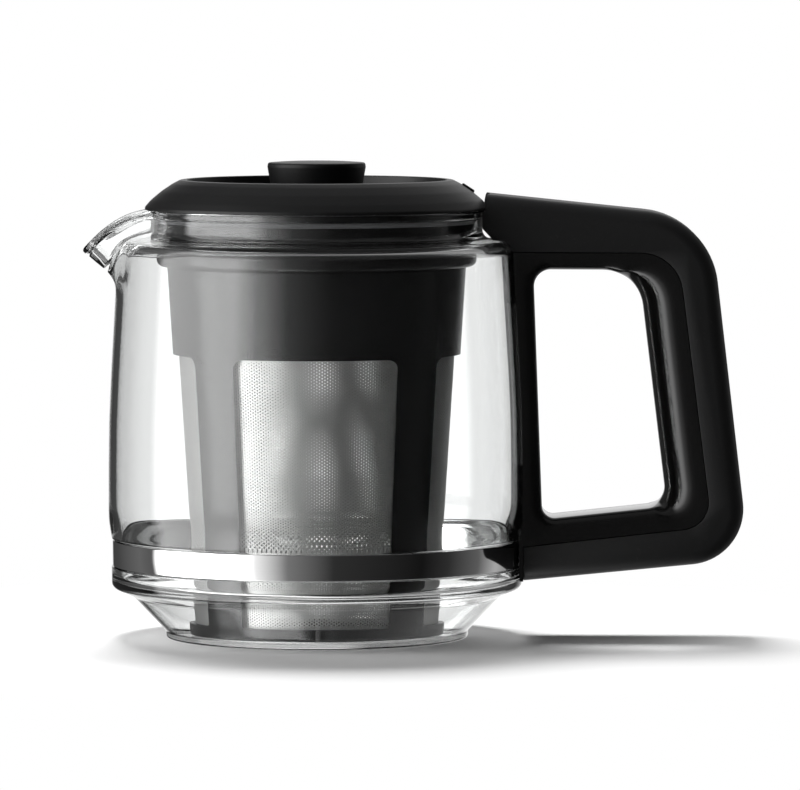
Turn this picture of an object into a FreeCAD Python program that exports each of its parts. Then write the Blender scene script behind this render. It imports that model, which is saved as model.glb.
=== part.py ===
import FreeCAD, Part
import math
import os
from FreeCAD import Vector

os.makedirs("parts", exist_ok=True)

# The pot stands on z = 0 with its axis on the origin.
# The handle is towards +X and the spout towards -X. All sizes are in millimetres.

# Glass vessel
RIM_Z = 153.6
BASE_R = 54.3
BASE_EDGE_H = 2.4
BASE_ROUND = 0.8
FLOOR_T = 2.0
HIP_R = 73.8
HIP_Z = 18.3
HIP_ROUND = 2.4
FLARE_R = HIP_R - 7.3
FLARE_Z = 15.2
FLARE_ROUND = 6.0
BELLY_R = 74.9
BELLY_Z = 78.0
BELLY_ROUND = 1200.0
BELLY_LOW_H = 7.0
BELLY_LOW_ROUND = 30.0
SHOULDER_R = BELLY_R - 3.7
SHOULDER_Z = RIM_Z - 11.2
SHOULDER_ROUND = 4.6
NECK_BORE_R = 57.8
NECK_WALL = 1.7
NECK_FILLET = 3.2
NECK_STEP_H = 1.2
BEAD_OUT = 0.7
BEAD_H = 2.6
BEAD_FALL = 0.6
WALL = 2.7
BAND_WALL = 2.3
GROOVE_CLEAR = 0.1
GROOVE_EDGE_H = 0.4

# Pouring lip: reach of its outside from the axis at each height, from the wall to the tip
LIP_REACH = [(RIM_Z - 37.6, 69.0), (RIM_Z - 29.6, 72.3), (RIM_Z - 23.6, 75.0), (RIM_Z - 18.6, 79.3),
             (RIM_Z - 15.0, 84.4), (RIM_Z - 9.6, 87.5), (RIM_Z + 4.4, 89.0)]
LIP_NOSE_R = 9.0
LIP_ROOT_HALF = 20.0
LIP_ROOT_X = 44.0
LIP_WALL = 2.5
LIP_FLOOR_RISE = 1.6
LIP_EDGE_START = (59.6, RIM_Z)
LIP_EDGE_MID = (75.4, RIM_Z - 4.2)
LIP_EDGE_TIP = (86.0, RIM_Z - 16.0)

# Steel band and its clamp
BAND_Z = 26.0
BAND_H = 9.2
BAND_R = HIP_R - 0.3
BAND_T = 0.7
EAR_GAP = 8.4
EAR_REACH = 12.0
EAR_DROP = 2.6
CLAMP_SCREW_R = 1.6
CLAMP_HEAD_R = 2.9
CLAMP_HEAD_T = 1.8
CLAMP_NUT_AF = 5.5
CLAMP_NUT_T = 2.2
CLAMP_RUN = 0.15
CLAMP_TAIL = 2.0
CLAMP_AT = 0.58
CLAMP_BLOCK_PAST = 5.0
CLAMP_BLOCK_CLEAR = 0.1

# Handle
HANDLE_HALF = 15.0
LINER_HALF = 14.6
HANDLE_WALL = 2.8
HANDLE_TOP = (56.0, RIM_Z + 6.4)
HANDLE_KNUCKLE = (140.9, RIM_Z - 2.5)
KNUCKLE_ROUND = 29.0
HANDLE_HEEL = (155.2, 28.6)
HEEL_ROUND = 20.0
HANDLE_FOOT_Z = 20.9
HANDLE_EDGE_ROUND = 5.0
LINER_EDGE_ROUND = 3.0
SEAM_TOP_Z = RIM_Z - 14.7
SEAM_KNUCKLE = (129.3, RIM_Z - 14.9)
SEAM_KNUCKLE_ROUND = 15.3
SEAM_HEEL = (141.6, 40.5)
SEAM_HEEL_ROUND = 10.0
SEAM_FOOT_Z = 33.2
FOOT_X = BAND_R + 0.6
LOOP_TOP_LEFT = (BELLY_R + 2.7, RIM_Z - 21.0)
LOOP_TOP_RIGHT = (115.5, RIM_Z - 21.2)
LOOP_BOTTOM_RIGHT = (125.7, 47.8)
LOOP_BOTTOM_LEFT = (FOOT_X + 6.8, 43.1)
LOOP_ROUNDS = (6.0, 15.0, 7.0, 4.5)
GLASS_CLEAR = 0.3
LID_CLEAR = 0.5
SHOULDER_CLEAR = 0.4
HOOK_Z = RIM_Z - 5.2
HOOK_DROP = 3.8
HOOK_OUT = 4.2
HOOK_BEND = (0.6, 2.0)
HOOK_BEND_ROUND = 5.0
HANDLE_SCREW_R = 1.6
HANDLE_SCREW_HEAD_R = 2.8
HANDLE_SCREW_HEAD_T = 2.0
HANDLE_BOSS_R = 4.2
SCREW_RUN = 0.1
TOP_SCREW_X = 92.0
TOP_SCREW_LEN = 13.0
FOOT_SCREW_X = 104.0
FOOT_SCREW_LEN = 12.0
PAD_Z = BELLY_Z - 16.0
PAD_H = 58.0
PAD_HALF = 8.0

# Lid
LID_R = 61.6
LID_EDGE_H = 0.9
LID_RIM_R = 48.0
LID_H = 10.8
LID_TOP_Z = RIM_Z + LID_H
DOME_MID = (LID_R - 4.9, RIM_Z + LID_H * 0.51)
LID_RIM_W = 1.7
RECESS_DEPTH = 6.8
RECESS_LEAN = 0.9
RECESS_FLOOR_Z = LID_TOP_Z - RECESS_DEPTH
LID_FLOOR_T = 2.4
DOME_HOLLOW_W = 6.5
DOME_HOLLOW_EDGE_H = 1.4
DOME_HOLLOW_DROP = 4.0
LID_SEAT_IN = 0.6
PLATE_T = 1.6
SKIRT_OUT_R = 56.6
SKIRT_IN_R = 53.6
SKIRT_BOTTOM_Z = RIM_Z - 12.0
GASKET_Z = RIM_Z - 4.7
GASKET_H = 2.6
GASKET_DEPTH = 0.8
GASKET_CLEAR = 0.3
MARK_IN = 52.0
MARK_LEN = 4.6
MARK_W = 2.4
MARK_PROUD = 0.6
MARK_LEAN = 29.0

# Knob
KNOB_TOP_R = 17.7
KNOB_FOOT_R = 15.7
KNOB_H = 13.3
KNOB_TOP_Z = RECESS_FLOOR_Z + KNOB_H
KNOB_SIDE_H = 1.8
KNOB_SIDE_ROUND = 1.2
KNOB_CROWN = 0.4
KNOB_CROWN_IN = 0.5
KNOB_CROWN_FLAT = 0.55
KNOB_CROWN_ROUND = 40.0
KNOB_SCREW_R = 2.0
KNOB_SCREW_HEAD_R = 4.2
KNOB_SCREW_HEAD_T = 2.4
KNOB_SCREW_BITE = 9.0
KNOB_SCREW_RUN = 0.1
WASHER_R = 6.0
WASHER_T = 0.8

# Infuser basket
COLLAR_CLEAR = 0.4
COLLAR_Z = RIM_Z - 20.2
COLLAR_TOP_Z = RIM_Z - 12.3
COLLAR_ROUND = 1.6
TONGUE_GAP = 0.3
TONGUE_T = 2.4
TONGUE_TOP_Z = RIM_Z - 4.0
LUG_COUNT = 4
LUG_HALF_DEG = 5.5
LUG_OUT = 2.2
LUG_Z = RIM_Z - 7.7
LUG_H = 2.0
LUG_RUN = 0.3
TWIST_DEG = 20.0
CONE_TOP_R = 53.6
CONE_FOOT_R = 45.4
FRAME_T = 2.1
FRAME_FOOT_Z = 4.7
WINDOW_COUNT = 4
WINDOW_HALF_DEG = 34.2
WINDOW_FOOT_Z = 7.6
WINDOW_TOP_Z = 102.0
WINDOW_ROUND = 3.4
MESH_T = 0.4
MESH_LAP_DEG = 2.5
MESH_LAP = 1.8
FLOOR_RING_Z = 2.7
FLOOR_RING_W = 4.4
FLOOR_RING_LIP = 1.6

# Worked out from the sizes above
NECK_R = NECK_BORE_R + NECK_WALL
BAND_TOP_Z = BAND_Z + BAND_H
BAND_IN_R = BAND_R - BAND_T
GROOVE_R = BAND_IN_R - GROOVE_CLEAR
PLATE_TOP_Z = RECESS_FLOOR_Z - LID_FLOOR_T
PLATE_Z = PLATE_TOP_Z - PLATE_T
COLLAR_R = NECK_BORE_R - COLLAR_CLEAR
TONGUE_R = SKIRT_IN_R - TONGUE_GAP
LUG_R = TONGUE_R + LUG_OUT
FULL = 400.0
AXIS = Vector(0, 0, 1)
ORIGIN = Vector(0, 0, 0)


def rounded_wire(corners):
    """Closed wire through (x, z, radius) corners in the XZ plane, each corner rounded."""
    count = len(corners)
    starts = []
    ends = []
    middles = []
    for i in range(count):
        x, z, radius = corners[i]
        here = Vector(x, 0, z)
        back = Vector(corners[i - 1][0], 0, corners[i - 1][1]) - here
        ahead = Vector(corners[(i + 1) % count][0], 0, corners[(i + 1) % count][1]) - here
        if radius == 0:
            starts.append(here)
            ends.append(here)
            middles.append(None)
            continue
        half = back.getAngle(ahead) / 2
        shorter = min(back.Length, ahead.Length)
        radius = min(radius, 0.49 * shorter * math.tan(half))
        leg = radius / math.tan(half)
        back.normalize()
        ahead.normalize()
        towards = back + ahead
        towards.normalize()
        starts.append(here + back * leg)
        ends.append(here + ahead * leg)
        middles.append(here + towards * (radius / math.sin(half) - radius))
    edges = []
    for i in range(count):
        if middles[i] is not None:
            edges.append(Part.Arc(starts[i], middles[i], ends[i]).toShape())
        following = starts[(i + 1) % count]
        if ends[i].distanceToPoint(following) > 1e-4:
            edges.append(Part.LineSegment(ends[i], following).toShape())
    return Part.Wire(edges)


def turned(corners, degrees=360.0):
    """Solid turned about the vertical axis from (radius, height, rounding) corners."""
    face = Part.Face(rounded_wire(corners))
    return face.revolve(ORIGIN, AXIS, degrees)


def slab(corners, half):
    """Side outline extended to both sides of the pot's middle plane."""
    return slab_of(rounded_wire(corners), half)


def slab_of(wire, half):
    """The same for a wire that is ready made."""
    face = Part.Face(wire)
    face.translate(Vector(0, -half, 0))
    return face.extrude(Vector(0, 2 * half, 0))


def box(x0, x1, y0, y1, z0, z1):
    """Block between two corners."""
    return Part.makeBox(x1 - x0, y1 - y0, z1 - z0, Vector(x0, y0, z0))


def ring(inner, outer, z0, z1):
    """Plain ring."""
    return turned([(inner, z0, 0), (outer, z0, 0), (outer, z1, 0), (inner, z1, 0)])


def ring_sector(inner, outer, z0, z1, middle, half):
    """Part of a ring that spans half degrees to each side of the middle direction."""
    corners = [(inner, z0, 0), (outer, z0, 0), (outer, z1, 0), (inner, z1, 0)]
    sector = turned(corners, 2 * half)
    sector.rotate(ORIGIN, AXIS, middle - half)
    return sector


def post(radius, x, z0, z1, y=0.0):
    """Upright round bar."""
    return Part.makeCylinder(radius, z1 - z0, Vector(x, y, z0), AXIS)


def write(name, shape):
    """One STEP file for each piece."""
    shape = shape.removeSplitter()
    print(name, "valid", shape.isValid(), "solids", len(shape.Solids), "volume", round(shape.Volume, 1))
    shape.exportStep("parts/" + name + ".step")


def vessel_outside(grow):
    """Outside of the glass without its lip, larger by grow on the radius."""
    g = grow
    low_edge = BAND_Z - GROOVE_CLEAR
    high_edge = BAND_TOP_Z + GROOVE_CLEAR
    return turned([
        (0, -g, 0),
        (BASE_R + g, -g, BASE_ROUND),
        (BASE_R + g, BASE_EDGE_H - g, BASE_ROUND),
        (FLARE_R + g, FLARE_Z - g, FLARE_ROUND),
        (HIP_R + g, HIP_Z - g, HIP_ROUND),
        (HIP_R + g, low_edge - GROOVE_EDGE_H, GROOVE_CLEAR),
        (GROOVE_R + g, low_edge, 0),
        (GROOVE_R + g, high_edge, 0),
        (HIP_R + g, high_edge + GROOVE_EDGE_H, GROOVE_EDGE_H),
        (BELLY_R + g, BAND_TOP_Z + BELLY_LOW_H, BELLY_LOW_ROUND),
        (BELLY_R + g, BELLY_Z, BELLY_ROUND),
        (SHOULDER_R + g, SHOULDER_Z + g, SHOULDER_ROUND),
        (NECK_R + g, SHOULDER_Z + g + NECK_STEP_H, NECK_FILLET),
        (NECK_R + g, RIM_Z - BEAD_H, BEAD_FALL / 2),
        (NECK_R + BEAD_OUT + g, RIM_Z - BEAD_H + BEAD_FALL, BEAD_FALL),
        (NECK_R + BEAD_OUT + g, RIM_Z + g, BASE_ROUND),
        (0, RIM_Z + g, 0),
    ])


def vessel_inside():
    """Hollow of the glass, from its floor up through the neck."""
    knee = WALL * 0.7
    return turned([
        (0, FLOOR_T, 0),
        (BASE_R - WALL, FLOOR_T, FLOOR_T),
        (FLARE_R - knee, FLARE_Z + knee, FLARE_ROUND),
        (GROOVE_R - BAND_WALL, HIP_Z + WALL, HIP_ROUND + BAND_WALL),
        (GROOVE_R - BAND_WALL, BAND_TOP_Z, BELLY_LOW_ROUND),
        (BELLY_R - WALL, BAND_TOP_Z + BELLY_LOW_H + BAND_WALL, BELLY_LOW_ROUND),
        (BELLY_R - WALL, BELLY_Z, BELLY_ROUND),
        (SHOULDER_R - WALL, SHOULDER_Z - WALL, SHOULDER_ROUND - NECK_WALL),
        (NECK_BORE_R, SHOULDER_Z - WALL + NECK_STEP_H, NECK_FILLET - BEAD_FALL),
        (NECK_BORE_R, RIM_Z + WALL, 0),
        (0, RIM_Z + WALL, 0),
    ])


def lip_section(z, reach, nose, root_half):
    """Plan outline of the lip at one height: a blunt wedge with a round nose."""
    centre_x = -(reach - nose)
    run = centre_x + LIP_ROOT_X
    lean = math.atan2(root_half, -run) - math.asin(nose / math.hypot(run, root_half))
    tangent = Vector(centre_x + nose * math.sin(lean) * -1, nose * math.cos(lean), z)
    mirror = Vector(tangent.x, -tangent.y, z)
    root = Vector(-LIP_ROOT_X, root_half, z)
    root_mirror = Vector(-LIP_ROOT_X, -root_half, z)
    tip = Vector(-reach, 0, z)
    return Part.Wire([
        Part.LineSegment(root_mirror, root).toShape(),
        Part.LineSegment(root, tangent).toShape(),
        Part.Arc(tangent, tip, mirror).toShape(),
        Part.LineSegment(mirror, root_mirror).toShape(),
    ])


def lip(inset, rise):
    """Solid of the pouring lip, drawn in by inset and lifted by rise for its hollow."""
    sections = []
    for z, reach in LIP_REACH:
        sections.append(lip_section(z + rise, reach - inset, LIP_NOSE_R - inset, LIP_ROOT_HALF - inset))
    return Part.makeLoft(sections, True, False)


def above_lip():
    """Space above the curved top edge of the lip."""
    start = Vector(-LIP_EDGE_START[0], 0, LIP_EDGE_START[1])
    middle = Vector(-LIP_EDGE_MID[0], 0, LIP_EDGE_MID[1])
    tip = Vector(-LIP_EDGE_TIP[0], 0, LIP_EDGE_TIP[1])
    far = Vector(-LIP_EDGE_TIP[0] - 20, 0, LIP_EDGE_TIP[1] - 4)
    high = Vector(far.x, 0, RIM_Z + 30)
    inner = Vector(start.x, 0, RIM_Z + 30)
    wire = Part.Wire([
        Part.Arc(start, middle, tip).toShape(),
        Part.LineSegment(tip, far).toShape(),
        Part.LineSegment(far, high).toShape(),
        Part.LineSegment(high, inner).toShape(),
        Part.LineSegment(inner, start).toShape(),
    ])
    return slab_of(wire, LIP_ROOT_HALF * 2)


def glass_vessel():
    """Blown glass pot with a beaded rim and a pouring lip."""
    outside = vessel_outside(0).fuse(lip(0, 0))
    hollow = vessel_inside().fuse(lip(LIP_WALL, LIP_FLOOR_RISE))
    above_rim = ring(0, FULL / 2, RIM_Z, FULL)
    return outside.cut(hollow).cut(above_lip()).cut(above_rim)


def steel_band():
    """Strap round the foot of the glass, with two ears that turn into the handle."""
    strap = ring(BAND_IN_R, BAND_R, BAND_Z, BAND_TOP_Z)
    half = EAR_GAP / 2
    strap = strap.cut(box(0, BAND_R + 1, -half, half, BAND_Z - 1, BAND_TOP_Z + 1))
    for side in (-1, 1):
        near = side * half
        far = side * (half + BAND_T)
        ear = box(BAND_IN_R - 0.4, BAND_R + EAR_REACH, min(near, far), max(near, far),
                  BAND_Z + 0.2, BAND_TOP_Z - EAR_DROP)
        ear = ear.cut(vessel_outside(GROOVE_CLEAR))
        ear = ear.cut(clamp_bar(CLAMP_SCREW_R + CLAMP_RUN, HANDLE_HALF))
        strap = strap.fuse(ear)
    return strap


def clamp_place():
    """Where the clamp screw's axis crosses the pot's middle plane."""
    return Vector(BAND_R + EAR_REACH * CLAMP_AT, 0, (BAND_Z + BAND_TOP_Z - EAR_DROP) / 2)


def clamp_block(grow):
    """Block of the liner between the band's ears, larger by grow for the shell's cut-out."""
    half = EAR_GAP / 2 - CLAMP_BLOCK_CLEAR + grow
    past = clamp_place().x + CLAMP_BLOCK_PAST
    low = HANDLE_FOOT_Z + HANDLE_WALL + foot_rise(past) + GLASS_CLEAR
    return box(FOOT_X - 1, past + grow, -half, half, low - grow, SEAM_FOOT_Z + 2)


def foot_rise(x):
    """How much higher the handle's underside lies at x than at its foot."""
    return (x - FOOT_X) / (HANDLE_HEEL[0] - FOOT_X) * (HANDLE_HEEL[1] - HANDLE_FOOT_Z)


def clamp_bar(radius, half):
    """Round bar along the clamp screw's axis."""
    place = clamp_place()
    return Part.makeCylinder(radius, 2 * half, Vector(place.x, -half, place.z), Vector(0, 1, 0))


def band_clamp_screw():
    """Screw across the foot of the handle that draws the band's ears together."""
    place = clamp_place()
    outer = EAR_GAP / 2 + BAND_T
    shank_len = 2 * outer + CLAMP_NUT_T + CLAMP_TAIL
    shank = Part.makeCylinder(CLAMP_SCREW_R, shank_len, Vector(place.x, -outer, place.z), Vector(0, 1, 0))
    head = Part.makeCylinder(CLAMP_HEAD_R, CLAMP_HEAD_T,
                             Vector(place.x, -outer - CLAMP_HEAD_T, place.z), Vector(0, 1, 0))
    slot = box(place.x - CLAMP_HEAD_R, place.x + CLAMP_HEAD_R, -outer - CLAMP_HEAD_T,
               -outer - CLAMP_HEAD_T / 2, place.z - 0.4, place.z + 0.4)
    return shank.fuse(head).cut(slot)


def band_clamp_nut():
    """Hexagon nut on the clamp screw."""
    place = clamp_place()
    outer = EAR_GAP / 2 + BAND_T
    corners = []
    for i in range(7):
        angle = math.radians(60 * i + 30)
        reach = CLAMP_NUT_AF / 2 / math.cos(math.radians(30))
        corners.append(Vector(place.x + reach * math.cos(angle), outer, place.z + reach * math.sin(angle)))
    body = Part.Face(Part.makePolygon(corners)).extrude(Vector(0, CLAMP_NUT_T, 0))
    return body.cut(clamp_bar(CLAMP_SCREW_R, HANDLE_HALF))


def handle_corners():
    """Outer side outline of the whole handle."""
    return [
        (HANDLE_TOP[0], HANDLE_TOP[1], 0),
        (HANDLE_KNUCKLE[0], HANDLE_KNUCKLE[1], KNUCKLE_ROUND),
        (HANDLE_HEEL[0], HANDLE_HEEL[1], HEEL_ROUND),
        (FOOT_X, HANDLE_FOOT_Z, 0),
        (FOOT_X, SEAM_FOOT_Z, 0),
        (HANDLE_TOP[0], SEAM_FOOT_Z, 0),
    ]


def seam_corners():
    """Side outline of everything inside the seam between shell and liner."""
    return [
        (HANDLE_TOP[0], SEAM_TOP_Z, 0),
        (SEAM_KNUCKLE[0], SEAM_KNUCKLE[1], SEAM_KNUCKLE_ROUND),
        (SEAM_HEEL[0], SEAM_HEEL[1], SEAM_HEEL_ROUND),
        (FOOT_X, SEAM_FOOT_Z, 0),
        (HANDLE_TOP[0], SEAM_FOOT_Z, 0),
    ]


def loop_corners(grow):
    """Finger opening, larger by grow on every side."""
    signs = ((-1, 1), (1, 1), (1, -1), (-1, -1))
    places = (LOOP_TOP_LEFT, LOOP_TOP_RIGHT, LOOP_BOTTOM_RIGHT, LOOP_BOTTOM_LEFT)
    corners = []
    for place, sign, rounding in zip(places, signs, LOOP_ROUNDS):
        corners.append((place[0] + sign[0] * grow, place[1] + sign[1] * grow, rounding + grow))
    return corners


def lid_side_cut(clear):
    """Space that the lid, the neck and the hook's underside leave free of the handle."""
    reach = LID_R + LID_CLEAR + clear
    return turned([
        (0, SHOULDER_Z + SHOULDER_CLEAR, 0),
        (reach + HOOK_OUT, SHOULDER_Z + SHOULDER_CLEAR, 0),
        (reach + HOOK_OUT, HOOK_Z - HOOK_DROP, 0),
        (reach + HOOK_BEND[0], HOOK_Z - HOOK_BEND[1], HOOK_BEND_ROUND),
        (reach, HOOK_Z, 1.0),
        (reach, FULL, 0),
        (0, FULL, 0),
    ])


def band_room():
    """Room for the band and its ears in the handle's foot."""
    half = EAR_GAP / 2
    room = ring(0, BAND_R + GLASS_CLEAR, BAND_Z - GLASS_CLEAR, BAND_TOP_Z + GLASS_CLEAR)
    for side in (-1, 1):
        near = side * (half - 0.1)
        far = side * (half + BAND_T + 0.3)
        room = room.fuse(box(BAND_R - 2, BAND_R + EAR_REACH + 1, min(near, far), max(near, far),
                             BAND_Z - 0.1, BAND_TOP_Z + GLASS_CLEAR))
    return room


def handle_shell():
    """Matte outer half of the handle: a channel that the liner closes."""
    whole = rounded_wire(handle_corners())
    inner = whole.makeOffset2D(-HANDLE_WALL)
    seam = slab(seam_corners(), FULL / 4)
    outer = slab_of(whole, HANDLE_HALF).cut(seam)
    edges = []
    for edge in outer.Edges:
        flat = all(abs(abs(vertex.Y) - HANDLE_HALF) < 0.01 for vertex in edge.Vertexes)
        middle = edge.valueAt((edge.FirstParameter + edge.LastParameter) / 2)
        inside_seam = seam.distToShape(Part.Vertex(middle))[0] < 0.5
        if flat and not inside_seam and middle.x > FOOT_X + 1:
            edges.append(edge)
    outer = outer.makeFillet(HANDLE_EDGE_ROUND, edges)
    cavity = slab_of(inner, HANDLE_HALF - HANDLE_WALL).cut(seam).cut(lid_side_cut(HANDLE_WALL))
    boss_top = post(HANDLE_BOSS_R, TOP_SCREW_X, SEAM_TOP_Z - 5, HANDLE_TOP[1])
    boss_foot = post(HANDLE_BOSS_R, FOOT_SCREW_X, 0, SEAM_HEEL[1])
    cavity = cavity.cut(boss_top).cut(boss_foot)
    shell = outer.cut(cavity).cut(lid_side_cut(0)).cut(vessel_outside(GLASS_CLEAR)).cut(band_room())
    shell = shell.cut(clamp_block(CLAMP_BLOCK_CLEAR))
    for place, radius in screw_holes():
        shell = shell.cut(post(radius, place[0], place[1], place[2]))
    return shell


def screw_places():
    """For each handle screw: x, height under its head, direction and length."""
    top_z = LOOP_TOP_LEFT[1] + HANDLE_SCREW_HEAD_T + 0.4
    foot_z = HANDLE_FOOT_Z + foot_rise(FOOT_SCREW_X)
    return [
        (TOP_SCREW_X, top_z, TOP_SCREW_LEN),
        (FOOT_SCREW_X, foot_z + HANDLE_SCREW_HEAD_T + 0.6, FOOT_SCREW_LEN),
    ]


def screw_holes():
    """Holes for the handle screws: a shank hole and a wider hole for each head."""
    holes = []
    for x, under_head, length in screw_places():
        holes.append(((x, under_head - 1, under_head + length + 0.5), HANDLE_SCREW_R + SCREW_RUN))
        holes.append(((x, under_head - HANDLE_SCREW_HEAD_T - 4, under_head),
                      HANDLE_SCREW_HEAD_R + SCREW_RUN))
    return holes


def handle_screws():
    """Two screws that hold the liner to the shell, heads down and out of sight."""
    screws = []
    for x, under_head, length in screw_places():
        screw = post(HANDLE_SCREW_R, x, under_head, under_head + length)
        screw = screw.fuse(post(HANDLE_SCREW_HEAD_R, x, under_head - HANDLE_SCREW_HEAD_T, under_head))
        cross = box(x - 1.6, x + 1.6, -0.35, 0.35, under_head - HANDLE_SCREW_HEAD_T,
                    under_head - HANDLE_SCREW_HEAD_T / 2)
        turned_cross = cross.copy()
        turned_cross.rotate(Vector(x, 0, 0), AXIS, 90)
        screws.append(screw.cut(cross).cut(turned_cross).removeSplitter())
    return Part.makeCompound(screws)


def handle_liner():
    """Glossy inner half of the handle with the strip and saddle that lie along the glass."""
    body = slab(seam_corners(), LINER_HALF).cut(slab(loop_corners(0), FULL / 4))
    edges = []
    opening = slab(loop_corners(0.2), FULL / 4)
    for edge in body.Edges:
        flat = all(abs(abs(vertex.Y) - LINER_HALF) < 0.01 for vertex in edge.Vertexes)
        middle = edge.valueAt((edge.FirstParameter + edge.LastParameter) / 2)
        if flat and opening.isInside(middle, 0.01, True):
            edges.append(edge)
    body = body.makeFillet(LINER_EDGE_ROUND, edges)
    strip_end = LOOP_BOTTOM_LEFT[0] + HANDLE_WALL
    pocket = slab(seam_corners(), LINER_HALF - HANDLE_WALL)
    pocket = pocket.cut(slab(loop_corners(HANDLE_WALL), FULL / 4))
    pocket = pocket.cut(box(0, strip_end, -FULL / 4, FULL / 4, 0, FULL))
    pocket = pocket.cut(post(HANDLE_BOSS_R, TOP_SCREW_X, 0, FULL))
    pocket = pocket.cut(post(HANDLE_BOSS_R, FOOT_SCREW_X, 0, FULL))
    saddle = box(BASE_R, FOOT_X, -LINER_HALF, LINER_HALF, HANDLE_FOOT_Z, SEAM_FOOT_Z + 1)
    body = body.cut(pocket).fuse(clamp_block(0)).fuse(saddle)
    body = body.cut(clamp_bar(CLAMP_SCREW_R + CLAMP_RUN, HANDLE_HALF))
    body = body.cut(vessel_outside(GLASS_CLEAR)).cut(lid_side_cut(0)).cut(band_room())
    for hole, radius in screw_holes():
        body = body.cut(post(radius, hole[0], hole[1], hole[2]))
    return body


def handle_bond_pad():
    """Thin bonded pad between the glass and the handle's strip."""
    skin = vessel_outside(GLASS_CLEAR).cut(vessel_outside(0))
    return skin.common(box(BASE_R, BELLY_R + 5, -PAD_HALF, PAD_HALF, PAD_Z, PAD_Z + PAD_H))


def lid_cap():
    """Domed lid with a deep recess round the knob and a small mark towards the handle."""
    seat_r = NECK_BORE_R - LID_SEAT_IN
    dome_foot = Vector(LID_R, 0, RIM_Z + LID_EDGE_H)
    dome_top = Vector(LID_RIM_R, 0, LID_TOP_Z)
    wire = Part.Wire([
        Part.Arc(dome_foot, Vector(DOME_MID[0], 0, DOME_MID[1]), dome_top).toShape(),
        Part.makePolygon([
            dome_top,
            Vector(LID_RIM_R - LID_RIM_W, 0, LID_TOP_Z),
            Vector(LID_RIM_R - LID_RIM_W - RECESS_LEAN, 0, RECESS_FLOOR_Z),
            Vector(0, 0, RECESS_FLOOR_Z),
            Vector(0, 0, PLATE_TOP_Z),
            Vector(seat_r, 0, PLATE_TOP_Z),
            Vector(seat_r, 0, RIM_Z),
            Vector(LID_R, 0, RIM_Z),
            dome_foot,
        ]),
    ])
    cap = Part.Face(wire).revolve(ORIGIN, AXIS, 360)
    hollow_out = LID_RIM_R + DOME_HOLLOW_W
    hollow_in = LID_RIM_R - LID_RIM_W + LID_FLOOR_T
    cap = cap.cut(turned([
        (hollow_in, PLATE_TOP_Z - 1, 0),
        (hollow_out, PLATE_TOP_Z - 1, 0),
        (hollow_out, PLATE_TOP_Z + DOME_HOLLOW_EDGE_H, 0),
        (hollow_in, LID_TOP_Z - DOME_HOLLOW_DROP, 0),
    ]))
    mark = Part.makeBox(MARK_LEN, MARK_W, MARK_W, Vector(0, -MARK_W / 2, -MARK_W))
    mark.rotate(ORIGIN, Vector(0, 1, 0), MARK_LEAN)
    mark.translate(Vector(MARK_IN, 0, dome_height(MARK_IN) + MARK_PROUD))
    cap = cap.fuse(mark)
    return cap.cut(post(KNOB_SCREW_R + KNOB_SCREW_RUN, 0, PLATE_TOP_Z - 1, RECESS_FLOOR_Z + 1))


def dome_height(radius):
    """Height of the dome's outside at one radius."""
    dome = Part.Arc(Vector(LID_R, 0, RIM_Z + LID_EDGE_H), Vector(DOME_MID[0], 0, DOME_MID[1]),
                    Vector(LID_RIM_R, 0, LID_TOP_Z)).toShape()
    upright = Part.LineSegment(Vector(radius, 0, RIM_Z), Vector(radius, 0, LID_TOP_Z + 5)).toShape()
    return dome.distToShape(upright)[1][0][0].z


def lid_insert():
    """Plate under the lid with a skirt that carries the bayonet grooves and the gasket."""
    groove_r = SKIRT_OUT_R - GASKET_DEPTH
    body = turned([
        (0, PLATE_Z, 0),
        (SKIRT_IN_R, PLATE_Z, 0),
        (SKIRT_IN_R, SKIRT_BOTTOM_Z, 0),
        (SKIRT_OUT_R, SKIRT_BOTTOM_Z, 0.6),
        (SKIRT_OUT_R, GASKET_Z, 0),
        (groove_r, GASKET_Z, 0),
        (groove_r, GASKET_Z + GASKET_H, 0),
        (SKIRT_OUT_R, GASKET_Z + GASKET_H, 0),
        (SKIRT_OUT_R, PLATE_TOP_Z, 0),
        (0, PLATE_TOP_Z, 0),
    ])
    low = LUG_Z - LUG_RUN
    high = LUG_Z + LUG_H + LUG_RUN
    half = LUG_HALF_DEG + 0.5
    for middle in lug_directions():
        run_middle = middle + TWIST_DEG / 2
        body = body.cut(ring_sector(SKIRT_IN_R - 1, LUG_R + LUG_RUN, low, high, run_middle,
                                    half + TWIST_DEG / 2))
        body = body.cut(ring_sector(SKIRT_IN_R - 1, LUG_R + LUG_RUN, SKIRT_BOTTOM_Z - 1, high,
                                    middle + TWIST_DEG, half))
        body = body.cut(ring_sector(LUG_R, SKIRT_OUT_R + 1, low, high, middle, half))
    return body.cut(post(KNOB_SCREW_R + KNOB_SCREW_RUN, 0, PLATE_Z - 1, PLATE_TOP_Z + 1))


def lug_directions():
    """Direction of each bayonet lug, between the windows."""
    return [45.0 + 360.0 / LUG_COUNT * i for i in range(LUG_COUNT)]


def lid_gasket():
    """Silicone ring that closes the gap between skirt and neck."""
    inner = SKIRT_OUT_R - GASKET_DEPTH
    outer = NECK_BORE_R - GASKET_CLEAR
    middle = GASKET_Z + GASKET_H / 2
    return turned([
        (inner, GASKET_Z, 0),
        (SKIRT_OUT_R, GASKET_Z, 0),
        (outer, middle - 0.5, 0.3),
        (outer, middle + 0.5, 0.3),
        (SKIRT_OUT_R, GASKET_Z + GASKET_H, 0),
        (inner, GASKET_Z + GASKET_H, 0),
    ])


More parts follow.
